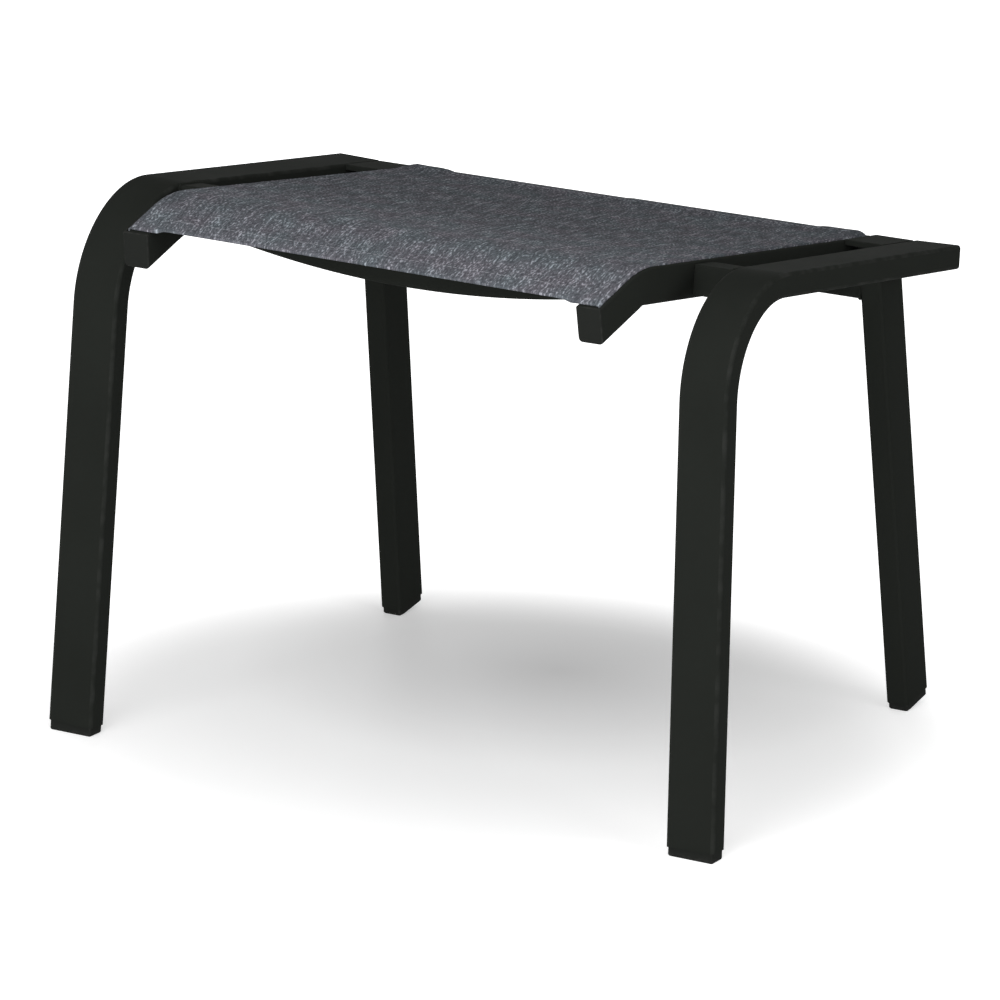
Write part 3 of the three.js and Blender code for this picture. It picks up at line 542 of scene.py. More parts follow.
@dataclass(frozen=True)
class Finish:
    """Look of one material; each kind gives the inputs of its Principled shader.

    A kind's grain says how fine its skin and the slow drift of its tone are, and its relief
    is the strength of its bumps and their height in metres.
    """

    name: str

    def make(self, effects: SharedEffects) -> Material:
        """Build the material.

        Args:
            effects: the shared node groups.

        Returns:
            The material.
        """
        material = bpy.data.materials.new(self.name)
        graph = Graph.of(material)
        shader = graph.add("ShaderNodeBsdfPrincipled", self.inputs(graph, effects))
        graph.add("ShaderNodeOutputMaterial", {0: shader.outputs[0]})
        return material

    def inputs(self, graph: Graph, effects: SharedEffects) -> dict:
        """Inputs of the shader.

        Args:
            graph: the material's graph.
            effects: the shared node groups.

        Returns:
            Value or socket for each input, by name.
        """
        raise NotImplementedError

    @staticmethod
    def dimmed(colour: tuple, share: float) -> tuple:
        """A colour times a share."""
        return tuple(c * share for c in colour[:3]) + (1.0,)


@dataclass(frozen=True)
class PowderCoat(Finish):
    """Matt charcoal powder coat with a fine texture and softly rubbed edges."""

    name: str = "charcoal_powder_coat"
    colour: tuple = (0.0173, 0.0191, 0.0168, 1.0)
    rubbed: tuple = (0.0378, 0.0389, 0.0366, 1.0)
    dusty: tuple = (0.0708, 0.0708, 0.0673, 1.0)
    dim: float = 0.88
    roughness: float = 0.55
    grain: tuple = (1500.0, 11.0)
    relief: tuple = (0.35, 0.00006)
    specular: float = 0.002
    rub_scale: float = 75.0
    rub_polish: float = 0.16
    dust_amount: float = 0.03

    def inputs(self, graph: Graph, effects: SharedEffects) -> dict:
        """Charcoal that drifts in tone, paler where it is rubbed or dusty.

        Args:
            graph: the material's graph.
            effects: the shared node groups.

        Returns:
            Value or socket for each input, by name.
        """
        place = graph.objects()
        skin = effects.skin(graph, place, *self.grain)
        drift, rub = skin["Drift"], effects.rubbed(graph, place, self.rub_scale)
        dust = effects.place(graph, "dust", {"Vector": place, "Amount": self.dust_amount})[0]
        colour = graph.blend(graph.spread(drift, 0.3, 0.7), self.dimmed(self.colour, self.dim), self.colour)
        colour = graph.blend(rub, colour, self.rubbed)
        rough = graph.spread(drift, 0.25, 0.75, self.roughness - 0.05, self.roughness + 0.06)
        return {
            "Base Color": graph.blend(dust, colour, self.dusty),
            "Roughness": graph.maths("SUBTRACT", rough, graph.maths("MULTIPLY", rub, self.rub_polish)),
            "Specular IOR Level": self.specular,
            "Normal": graph.bump(*self.relief, skin["Height"]),
        }


@dataclass(frozen=True)
class MouldedPlastic(Finish):
    """Black moulded plastic of caps, plugs and glides, with a spark-eroded texture."""

    name: str = "black_moulded_plastic"
    colour: tuple = (0.0168, 0.0181, 0.0165, 1.0)
    scuffed: tuple = (0.0448, 0.0448, 0.0425, 1.0)
    roughness: float = 0.55
    grain: tuple = (2600.0, 40.0)
    relief: tuple = (0.3, 0.00004)
    specular: float = 0.005
    rub_scale: float = 160.0
    scuff_scale: float = 420.0
    scuff_height: float = 0.004

    def inputs(self, graph: Graph, effects: SharedEffects) -> dict:
        """Black, paler where it is rubbed and where the feet scuff on the floor.

        Args:
            graph: the material's graph.
            effects: the shared node groups.

        Returns:
            Value or socket for each input, by name.
        """
        place = graph.objects()
        skin = effects.skin(graph, place, *self.grain)
        near_floor = graph.spread(graph.axis(place, 2), 0.0, self.scuff_height, 0.5, 0.0)
        patches = graph.spread(graph.noise(place, self.scuff_scale, 4.0), 0.45, 0.62)
        scuffs = graph.maths("MULTIPLY", patches, near_floor)
        mask = graph.maths("MAXIMUM", effects.rubbed(graph, place, self.rub_scale), scuffs)
        return {
            "Base Color": graph.blend(mask, self.colour, self.scuffed),
            "Roughness": graph.spread(skin["Drift"], 0.3, 0.7, self.roughness - 0.05, self.roughness + 0.08),
            "Specular IOR Level": self.specular,
            "Normal": graph.bump(*self.relief, skin["Height"]),
        }


@dataclass(frozen=True)
class SlingCloth(Finish):
    """Open woven sling cloth of coated yarn, slate grey melange with paler flecks.

    The pattern follows the cloth's own UV map, which is its flat size in metres.
    """

    name: str = "slate_melange_sling_cloth"
    dark: tuple = (0.0510, 0.0529, 0.0590, 1.0)
    middle: tuple = (0.0944, 0.0970, 0.1062, 1.0)
    pale: tuple = (0.3021, 0.3103, 0.3375, 1.0)
    cool: tuple = (0.93, 1.02, 1.03, 1.0)
    warm: tuple = (1.03, 0.98, 1.02, 1.0)
    yarn: float = 0.95
    slant_degrees: float = 9.5
    speck: tuple = (1.35, 3.6)
    row: tuple = (3.4, 28.0)
    slub: tuple = (2.6, 1.0)
    cloud: float = 0.03
    weights: tuple = (0.58, 0.32, 0.10, 0.06)
    tone_range: tuple = (0.38, 0.70)
    # painted light: how much paler the cloth is made at its front edge, and over what reach
    front_light_gain: float = 1.44
    front_light_reach: tuple = (30.0, 240.0)
    relief: tuple = (0.5, 0.00025)
    specular: float = 0.004
    sheen: float = 0.01

    def inputs(self, graph: Graph, effects: SharedEffects) -> dict:
        """Melange tones, with painted shade in the gaps of the weave and painted light that makes the front
        paler.

        Args:
            graph: the material's graph.
            effects: the shared node groups; not used here.

        Returns:
            Value or socket for each input, by name.
        """
        flat = graph.add("ShaderNodeUVMap", uv_map="cloth").outputs[0]
        millimetres = graph.scaled(flat, (1.0 / MM, 1.0 / MM, 1.0))
        weave, tone = self.weave(graph, millimetres), self.melange(graph, millimetres)
        colour = graph.blend(graph.spread(tone, 0.05, 0.6), self.dark, self.middle)
        colour = graph.blend(graph.spread(tone, 0.58, 1.0), colour, self.pale)
        # painted light: the colour is made paler towards the cloth's front edge
        ahead = graph.spread(graph.axis(millimetres, 1), *self.front_light_reach, self.front_light_gain, 1.0)
        # painted shade: the colour darkens in the gaps between the yarns, times the painted front light
        shade = graph.maths("MULTIPLY", graph.spread(weave, 0.0, 1.0, 0.72, 1.04), ahead)
        cast = graph.blend(graph.spread(graph.noise(millimetres, 0.035), 0.35, 0.65), self.cool, self.warm)
        tinted = graph.blend(1.0, colour, cast, blend_type="MULTIPLY")
        height = graph.maths("ADD", weave, graph.maths("MULTIPLY", tone, 0.5))
        return {
            "Base Color": graph.blend(1.0, tinted, graph.grey(shade), blend_type="MULTIPLY"),
            "Roughness": graph.spread(tone, 0.0, 1.0, 0.78, 0.6),
            "Specular IOR Level": self.specular,
            "Sheen Weight": self.sheen,
            "Sheen Roughness": 0.5,
            "Normal": graph.bump(*self.relief, height),
        }

    def weave(self, graph: Graph, millimetres: Socket) -> Socket:
        """Height of the crossing yarns, 0 in the gaps and 1 on the crowns.

        Args:
            graph: the material's graph.
            millimetres: flat coordinates of the cloth.

        Returns:
            The height socket.
        """
        across, along = (
            graph.maths("MULTIPLY", graph.axis(millimetres, index), math.pi / self.yarn) for index in (0, 1)
        )
        warp, weft = (graph.maths("ABSOLUTE", graph.maths("SINE", angle)) for angle in (across, along))
        over = graph.spread(graph.maths("SINE", graph.maths("ADD", across, along)), -0.35, 0.35)
        down = graph.maths("MULTIPLY", weft, graph.maths("SUBTRACT", 1.0, over))
        return graph.maths("ADD", graph.maths("MULTIPLY", warp, over), down, clamp=True)

    def melange(self, graph: Graph, millimetres: Socket) -> Socket:
        """Speckled tone of the blended yarns, lying in slanting rows, 0 dark to 1 pale.

        Args:
            graph: the material's graph.
            millimetres: flat coordinates of the cloth.

        Returns:
            The tone socket.
        """
        slant = math.radians(self.slant_degrees)
        marks = (
            graph.marks(millimetres, *self.speck, slant),
            graph.marks(millimetres, *self.row, slant),
            graph.marks(millimetres, *self.slub),
            graph.noise(millimetres, self.cloud, 1.0),
        )
        tone, *others = (graph.maths("MULTIPLY", mark, part) for mark, part in zip(marks, self.weights))
        for other in others:
            tone = graph.maths("ADD", tone, other)
        return graph.spread(tone, *self.tone_range)


@dataclass(frozen=True)
class Thread(Finish):
    """Twisted polyester sewing thread, a shade paler than the cloth."""

    name: str = "grey_sewing_thread"
    colour: tuple = (0.1770, 0.1829, 0.2006, 1.0)
    pale: float = 1.4
    grain: tuple = (5200.0, 220.0)
    relief: tuple = (0.4, 0.00005)

    def inputs(self, graph: Graph, effects: SharedEffects) -> dict:
        """Grey that drifts towards paler fibres.

        Args:
            graph: the material's graph.
            effects: the shared node groups.

        Returns:
            Value or socket for each input, by name.
        """
        skin = effects.skin(graph, graph.objects(), *self.grain)
        return {
            "Base Color": graph.blend(skin["Drift"], self.colour, self.dimmed(self.colour, self.pale)),
            "Roughness": 0.7,
            "Normal": graph.bump(*self.relief, skin["Height"]),
        }


@dataclass(frozen=True)
class KederVinyl(Finish):
    """Extruded grey rod that holds the cloth's edge in the rail."""

    name: str = "grey_keder_rod"
    colour: tuple = (0.1888, 0.1888, 0.1947, 1.0)
    dim: float = 0.8
    lines: tuple = (900.0, 20.0, 900.0)
    relief: tuple = (0.15, 0.00004)

    def inputs(self, graph: Graph, effects: SharedEffects) -> dict:
        """Grey with fine lines of the extrusion.

        Args:
            graph: the material's graph.
            effects: the shared node groups; not used here.

        Returns:
            Value or socket for each input, by name.
        """
        lines = graph.noise(graph.scaled(graph.objects(), self.lines), 1.0, 3.0)
        return {
            "Base Color": graph.blend(lines, self.dimmed(self.colour, self.dim), self.colour),
            "Roughness": 0.45,
            "Normal": graph.bump(*self.relief, lines),
        }


@dataclass(frozen=True)
class BlackOxideSteel(Finish):
    """Dull black-oxide steel of the fasteners."""

    name: str = "black_oxide_steel"
    colour: tuple = (0.0590, 0.0590, 0.0614, 1.0)
    dim: float = 0.72
    grain: tuple = (3200.0, 150.0)
    relief: tuple = (0.1, 0.00003)

    def inputs(self, graph: Graph, effects: SharedEffects) -> dict:
        """Dark metal with a mottled polish.

        Args:
            graph: the material's graph.
            effects: the shared node groups.

        Returns:
            Value or socket for each input, by name.
        """
        skin = effects.skin(graph, graph.objects(), *self.grain)
        return {
            "Base Color": graph.blend(skin["Drift"], self.dimmed(self.colour, self.dim), self.colour),
            "Metallic": 1.0,
            "Roughness": graph.spread(skin["Height"], 0.3, 0.7, 0.28, 0.42),
            "Normal": graph.bump(*self.relief, skin["Height"]),
        }


@dataclass
class Finishes:
    """The stool's materials, each made once."""

    effects: SharedEffects
    made: dict[str, Material] = field(default_factory=dict)

    def get(self, finish: Finish) -> Material:
        """The material of a finish, made when it is first asked for.

        Args:
            finish: the finish.

        Returns:
            The material.
        """
        if finish.name not in self.made:
            self.made[finish.name] = finish.make(self.effects)
        return self.made[finish.name]

    def for_slot(self, slot: Slot) -> Material:
        """The material that a slot of the record takes.

        Args:
            slot: the slot.

        Returns:
            The material.
        """
        kinds = {
            Slot.FRAME: PowderCoat, Slot.PLASTIC: MouldedPlastic, Slot.SLING: SlingCloth,
            Slot.KEDER: KederVinyl, Slot.STEEL: BlackOxideSteel,
        }
        return self.get(kinds[slot]())


# Finishing of meshes


@dataclass
class Workshop:
    """Turns finished bmeshes into pieces that ride on the stool."""

    finishes: Finishes
    sharp_degrees: float = 38.0

    def mark_edges(self, bm: BMesh, band: float) -> None:
        """Smooth the faces, mark sharp edges and flag the narrow faces of rounded corners.

        Args:
            bm: the mesh, in millimetres.
            band: width below which a face between two others counts as a rounded corner.
        """
        limit = math.radians(self.sharp_degrees)
        flag = bm.faces.layers.float.get("edge_band") or bm.faces.layers.float.new("edge_band")
        for edge in bm.edges:
            edge.smooth = len(edge.link_faces) == 2 and edge.calc_face_angle(0.0) < limit
        for face in bm.faces:
            face.smooth = True
            longest = max(e.calc_length() for e in face.edges)
            face[flag] = float(2.0 * face.calc_area() / max(longest, 1e-6) < band)

    def piece(
        self, bm: BMesh, name: str, slot: Slot, material: Material | None = None,
        replaces: tuple[str, ...] = (), band: float = 2.2, weighted: bool = True, turn_out: bool = True,
    ) -> bpy.types.Object:
        """Make an object of a mesh drawn in millimetres and set it on the stool.

        Args:
            bm: the mesh; it is freed here.
            name: the piece's name.
            slot: material slot that it belongs to.
            material: its material, or None for the slot's own.
            replaces: CAD nodes that it stands for.
            band: width of a rounded corner's faces.
            weighted: keep flat faces flat beside smoothed corners.
            turn_out: turn all faces outwards.

        Returns:
            The new object.
        """
        if turn_out:
            bmesh.ops.recalc_face_normals(bm, faces=bm.faces[:])
        self.mark_edges(bm, band)
        bmesh.ops.scale(bm, vec=(MM, MM, MM), verts=bm.verts[:])
        mesh = bpy.data.meshes.new(name)
        bm.to_mesh(mesh)
        bm.free()
        piece = in_scene(name, mesh)
        mesh.materials.append(material or self.finishes.for_slot(slot))
        if weighted:
            piece.modifiers.new("flat_faces", "WEIGHTED_NORMAL").keep_sharp = True
        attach(piece, "root")
        if replaces:
            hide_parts(*replaces)
        log.info("%s: %d faces", name, len(mesh.polygons))
        return piece

    def smoothed_copy(self, node: str, slot: Slot, soften: float = 0.0, thicken: float = 0.0) -> None:
        """Stand a merged and smoothed copy in for a CAD node that is right in shape.

        Args:
            node: name of the node.
            slot: material slot.
            soften: width in millimetres of a fine bevel on its sharp edges, 0 for none.
            thicken: how far a plate's top face is raised.
        """
        flat_degrees, hard_degrees, upward = 0.6, 50.0, 0.3
        bm = bmesh.new()
        bm.from_mesh(bpy.data.objects[node].data)
        bmesh.ops.scale(bm, vec=(1.0 / MM,) * 3, verts=bm.verts[:])
        bmesh.ops.remove_doubles(bm, verts=bm.verts[:], dist=0.002)
        bmesh.ops.dissolve_limit(
            bm, angle_limit=math.radians(flat_degrees), verts=bm.verts[:], edges=bm.edges[:],
            use_dissolve_boundaries=False,
        )
        if thicken:
            top = once(v for f in bm.faces if f.normal.z > upward for v in f.verts)
            bmesh.ops.translate(bm, vec=(0.0, 0.0, thicken), verts=top)
        if soften:
            hard = math.radians(hard_degrees)
            sharp = [e for e in bm.edges if len(e.link_faces) == 2 and e.calc_face_angle(0.0) > hard]
            bevel(bm, sharp, soften, 2)
        self.piece(bm, f"{node}_finished", slot, replaces=(node,))


# Sub-assemblies


class Part:
    """Part of the stool that makes its own pieces."""

    def build(self, shop: Workshop) -> None:
        """Make the pieces.

        Args:
            shop: finishes the meshes.
        """
        raise NotImplementedError


@dataclass(frozen=True)
class TubePlug:
    """Plastic plug in a tube's end: a lip with a rounded rim and a stub inside."""

    wide: float
    tall: float
    corner: float
    wall: float
    low_corner: float = 0.0
    lip: float = 2.0
    rounding: float = 0.9
    stub: float = 8.0
    clearance: float = 0.25
    lip_gap: float = 0.05
    stub_gap: float = 0.02
    rim_steps: int = 4
    stub_corner: float = 1.0
    stub_steps: int = 3

    def build(self, shop: Workshop, name: str, end: Place, outwards: Vector, node: str) -> None:
        """Make the plug.

        Args:
            shop: finishes the mesh.
            name: the piece's name.
            end: the tube's last station.
            outwards: direction out of the tube.
            node: CAD node that it stands for.
        """
        bm = bmesh.new()
        rim = rounded_section(bm, self.wide, self.tall, self.corner, CORNER_STEPS, self.low_corner)
        outer = sweep(bm, rim, [end.moved(outwards * self.lip_gap), end.moved(outwards * self.lip)])
        close_ends(bm, rim, outer)
        bevel(bm, outer, self.rounding, self.rim_steps)
        inset = 2 * (self.wall + self.clearance)
        bore = self.wide - inset, self.tall - inset
        inner = rounded_section(bm, *bore, self.stub_corner, self.stub_steps)
        tail = sweep(bm, inner, [end.moved(outwards * self.stub_gap), end.moved(outwards * -self.stub)])
        close_ends(bm, inner, tail)
        shop.piece(bm, name, Slot.PLASTIC, replaces=(node,), band=1.3)


@dataclass
class EndFrame(Part):
    """Bent tube at each end: a front leg, a large bend and the top bar, with a cap and a glide."""

    side: Side
    wide: float = 38.0
    thick: float = 18.0
    wall: float = 1.5
    corner: float = 2.6
    half_span: float = 259.6
    cant: float = 1.71
    front_y: float = -201.85
    rake: float = 2.0
    bend_radius: float = 74.0
    bar_top: float = 393.45
    bar_fall: float = 6.49
    bar_end_y: float = 182.85
    foot_clearance: float = 7.0
    cap_lip: float = 2.0
    bend_steps: int = 30

    @property
    def plane(self) -> CantedPlane:
        """The leaning plane of the frame."""
        return CantedPlane(self.side, self.half_span, self.cant)

    def bar_top_at(self, y: float) -> float:
        """Height of the bar's top surface at a depth, along the frame's plane."""
        return self.bar_top - math.tan(math.radians(self.bar_fall)) * y

    def centre_line(self) -> list[tuple[float, float, float]]:
        """Middle of the tube from the foot to the bar's end.

        Returns:
            Depth, height in the plane and turn from upright of each station.
        """
        rake, fall, half = math.radians(self.rake), math.radians(self.bar_fall), self.thick / 2
        foot_y = self.front_y + half / math.cos(rake)
        bar_h = self.bar_top - half / math.cos(fall)
        corner_h = (bar_h - math.tan(fall) * foot_y) / (1 + math.tan(fall) * math.tan(rake))
        corner_y = foot_y + math.tan(rake) * corner_h
        turn = math.pi / 2 - rake + fall
        tangent = self.bend_radius * math.tan(turn / 2)
        start_y, start_h = corner_y - tangent * math.sin(rake), corner_h - tangent * math.cos(rake)
        line = [(foot_y + math.tan(rake) * self.foot_clearance, self.foot_clearance, rake)]
        for step in range(self.bend_steps + 1):
            angle = turn * step / self.bend_steps
            along, aside = self.bend_radius * math.sin(angle), self.bend_radius * (1 - math.cos(angle))
            line.append((
                start_y + along * math.sin(rake) + aside * math.cos(rake),
                start_h + along * math.cos(rake) - aside * math.sin(rake),
                rake + angle,
            ))
        end_y = self.bar_end_y - self.cap_lip
        line.append((end_y, bar_h - math.tan(fall) * end_y, rake + turn))
        return line

    def place(self, y: float, height: float, turn: float) -> Place:
        """Turn a station of the middle line into a place for the section."""
        up = self.plane.rise * math.sin(turn) - Vector((0.0, math.cos(turn), 0.0))
        return Place(self.plane.at(0.0, y, height), self.plane.across, up)

    def build(self, shop: Workshop) -> None:
        """Make the bent tube, its end cap and its glide.

        Args:
            shop: finishes the meshes.
        """
        bm = bmesh.new()
        stations, word = [self.place(*station) for station in self.centre_line()], self.side.word
        box_tube(bm, self.wide, self.thick, self.corner, self.wall, stations)
        shop.piece(bm, f"{word}_end_frame_tube", Slot.FRAME, replaces=(f"{word}_end_frame",))
        outwards = (stations[-1].origin - stations[-2].origin).normalized()
        cap = TubePlug(self.wide, self.thick, self.corner, self.wall)
        cap.build(shop, f"{word}_end_frame_plug", stations[-1], outwards, f"{word}_end_frame_cap")
        shop.smoothed_copy(f"{word}_front_glide", Slot.PLASTIC, soften=0.5)


@dataclass(frozen=True)
class RailStation:
    """A place on a rail's middle line."""

    y: float
    z: float
    slope: float
    inset: float
    toe: float
    crush: float = 0.0


@dataclass
class SlingRail(Part):
    """Rail that the cloth is drawn over: a box extrusion with an open groove for the keder rod.

    It runs flat at the back, bends down at the knee and toes in along its nose.
    """

    side: Side
    wide: float = 20.0
    tall: float = 26.8
    wall: float = 1.8
    corner: float = 1.6
    low_corner: float = 3.2
    cant: float = 1.5
    mid_x: float = 188.65
    back_y: float = 177.65
    front_y: float = -239.7
    top_at_back: float = 371.6
    fall: float = 6.83
    nose: float = 16.0
    toe: float = 3.0
    cut: float = 10.0
    knee_y: float = -175.5
    knee_radius: float = 100.0
    knee_crush: float = 1.5
    knee_steps: int = 16
    crush_ease: float = 0.04
    outline_steps: int = 4
    slot_centre: float = 7.3
    slot_wide: float = 2.0
    slot_lip: float = 0.3
    groove_across: float = 6.0
    groove_depth: float = 4.1
    groove_radius: float = 2.9
    groove_steps: int = 14

    @property
    def groove_up(self) -> float:
        """Height of the groove's middle over the section's."""
        return self.tall / 2 - self.groove_depth

    def stations(self) -> list[RailStation]:
        """Middle line from the back end to the cut tip.

        Returns:
            The stations in order.
        """
        fall, nose, toe, cut = (math.radians(a) for a in (self.fall, self.nose, self.toe, self.cut))
        half, turn = self.tall / 2, fall + nose
        top = self.top_at_back + math.tan(fall) * (self.back_y - self.knee_y)
        bisector, shrink = (nose - fall) / 2, half / math.cos(turn / 2)
        knee_y, knee_z = self.knee_y - shrink * math.sin(bisector), top - shrink * math.cos(bisector)
        tangent = self.knee_radius * math.tan(turn / 2)
        tail_y, start_y = self.back_y - half * math.sin(fall), knee_y + tangent * math.cos(fall)
        start_z = knee_z - math.tan(fall) * (start_y - knee_y)
        line = [RailStation(tail_y, knee_z - math.tan(fall) * (tail_y - knee_y), -fall, 0.0, 0.0)]
        end_inset = math.tan(toe) * tangent * math.cos(nose)
        for step in range(self.knee_steps + 1):
            share = step / self.knee_steps
            angle = turn * share
            along, aside = self.knee_radius * math.sin(angle), self.knee_radius * (1 - math.cos(angle))
            line.append(RailStation(
                start_y - along * math.cos(fall) - aside * math.sin(fall),
                start_z + along * math.sin(fall) - aside * math.cos(fall),
                angle - fall, end_inset * share * share, toe * share,
                self.knee_crush * (1 - min(1.0, abs(2 * share - 1) + self.crush_ease)) ** 2,
            ))
        tip_y = self.front_y + half * math.sin(cut)
        tip_z = knee_z - math.tan(nose) * (knee_y - tip_y)
        line.append(RailStation(tip_y, tip_z, cut, math.tan(toe) * (knee_y - tip_y), toe))
        return line

    def place(self, station: RailStation) -> Place:
        """Turn a station into a place for the section.

        Args:
            station: the station.

        Returns:
            The place, squashed at the knee.
        """
        side, cant = self.side.value, math.radians(self.cant)
        ahead = Vector((
            -side * math.sin(station.toe) * math.cos(station.slope),
            -math.cos(station.toe) * math.cos(station.slope),
            -math.sin(station.slope),
        ))
        level = Vector((side * math.cos(station.toe), -math.sin(station.toe), 0.0))
        rise = level.cross(ahead) * -side
        across = level * math.cos(cant) + rise * math.sin(cant)
        up = rise * math.cos(cant) - level * math.sin(cant)
        origin = Vector((side * (self.mid_x - station.inset), station.y, station.z))
        return Place(origin + up * (station.crush / 2), across, up * (1 - station.crush / self.tall))

    def place_at(self, y: float) -> Place:
        """Place on the middle line at any depth.

        Args:
            y: the depth.

        Returns:
            The place.
        """
        line = self.stations()
        after = max(1, next((i for i, s in enumerate(line) if s.y <= y), len(line) - 1))
        start, end = line[after - 1], line[after]
        share = (start.y - y) / (start.y - end.y)
        return self.place(RailStation(*(a + (b - a) * share for a, b in zip(astuple(start), astuple(end)))))

    def inner_face(self) -> Plane:
        """Flat inner side of the straight part."""
        place = self.place_at(0.0)
        return Plane(place.at(-self.wide / 2, 0.0), -place.across)

    def outline(self) -> Points:
        """Outer outline of the extrusion, with the groove cut into its top.

        Returns:
            The corners in order.
        """
        half_wide, half_tall = self.wide / 2, self.tall / 2
        right, left = self.slot_centre + self.slot_wide / 2, self.slot_centre - self.slot_wide / 2
        begin = math.acos((right - self.groove_across) / self.groove_radius)
        finish = math.acos((left - self.groove_across) / self.groove_radius) - 2 * math.pi
        groove = [(right + self.slot_lip, half_tall), (right, half_tall - self.slot_lip)]
        for step in range(self.groove_steps + 1):
            angle = begin + (finish - begin) * step / self.groove_steps
            across, up = self.groove_radius * math.cos(angle), self.groove_radius * math.sin(angle)
            groove.append((self.groove_across + across, self.groove_up + up))
        groove += [(left, half_tall - self.slot_lip), (left - self.slot_lip, half_tall)]
        points = []
        for sx, sy, start in ((1, 1, 0), (-1, 1, 90), (-1, -1, 180), (1, -1, 270)):
            radius = self.corner if sy > 0 else self.low_corner
            mid_x, mid_y = sx * (half_wide - radius), sy * (half_tall - radius)
            for step in range(self.outline_steps + 1):
                angle = math.radians(start + 90 * step / self.outline_steps)
                points.append((mid_x + radius * math.cos(angle), mid_y + radius * math.sin(angle)))
            if start == 0:
                points += groove
        return points

    def build(self, shop: Workshop) -> None:
        """Make the rail and its two end caps.

        Args:
            shop: finishes the meshes.
        """
        bm = bmesh.new()
        stations, word = [self.place(station) for station in self.stations()], self.side.word
        skin = drawn_section(bm, self.outline())
        close_ends(bm, skin, sweep(bm, skin, stations))
        name = f"{word}_sling_rail"
        shop.piece(bm, f"{name}_extrusion", Slot.FRAME, replaces=(name,), band=1.2)
        plug = TubePlug(self.wide, self.tall, self.corner, self.wall, self.low_corner, stub=0.5)
        for name, end, near in (("front", stations[-1], stations[-2]), ("back", stations[0], stations[1])):
            out = end.across.cross(end.up).normalized()
            if out.dot(end.origin - near.origin) < 0:
                out.negate()
            plug.build(shop, f"{word}_rail_{name}_plug", end, out, f"{word}_rail_{name}_cap")


@dataclass
class Spreader(Part):
    """Bowed bar that keeps the rails apart under the front of the cloth."""

    rail: SlingRail
    y: float = -155.0
    tall: float = 20.0
    deep: float = 14.0
    corner: float = 4.0
    wall: float = 1.5
    bow_radius: float = 806.0
    low_point: float = 367.2
    gap: float = 0.3
    steps: int = 44

    def place(self, x: float) -> Place:
        """Station at a distance from the stool's middle.

        Args:
            x: the distance, positive to the right.

        Returns:
            The place.
        """
        radius = self.bow_radius - self.tall / 2
        tilt, drop = math.asin(x / radius), math.sqrt(radius * radius - x * x)
        origin = Vector((x, self.y, self.low_point + self.bow_radius - drop))
        return Place(origin, Vector((0.0, 1.0, 0.0)), Vector((-math.sin(tilt), 0.0, math.cos(tilt))))

    def build(self, shop: Workshop) -> None:
        """Make the bowed tube from the left rail to the right one.

        Args:
            shop: finishes the meshes.
        """
        bm = bmesh.new()
        start = Vector((0.0, self.y, self.place(self.rail.mid_x - self.rail.wide / 2).origin.z))
        reach = self.rail.inner_face().shifted(self.gap).slide(start, Side.RIGHT.out).x
        places = [self.place(-reach + 2 * reach * step / self.steps) for step in range(self.steps + 1)]
        box_tube(bm, self.deep, self.tall, self.corner, self.wall, places)
        shop.piece(bm, "front_spreader_tube", Slot.FRAME, replaces=("front_spreader_bar",))


@dataclass
class SlingRow:
    """One row of the cloth across the stool.

    Args:
        share: place between the front edge, 0, and the back edge, 1.
        below: distance under the top layer, for the folded hem.
        flat: distance along the flat cloth.
        under: whether the row is on the hem's lower layer.
    """

    share: float
    below: float
    flat: float
    under: bool


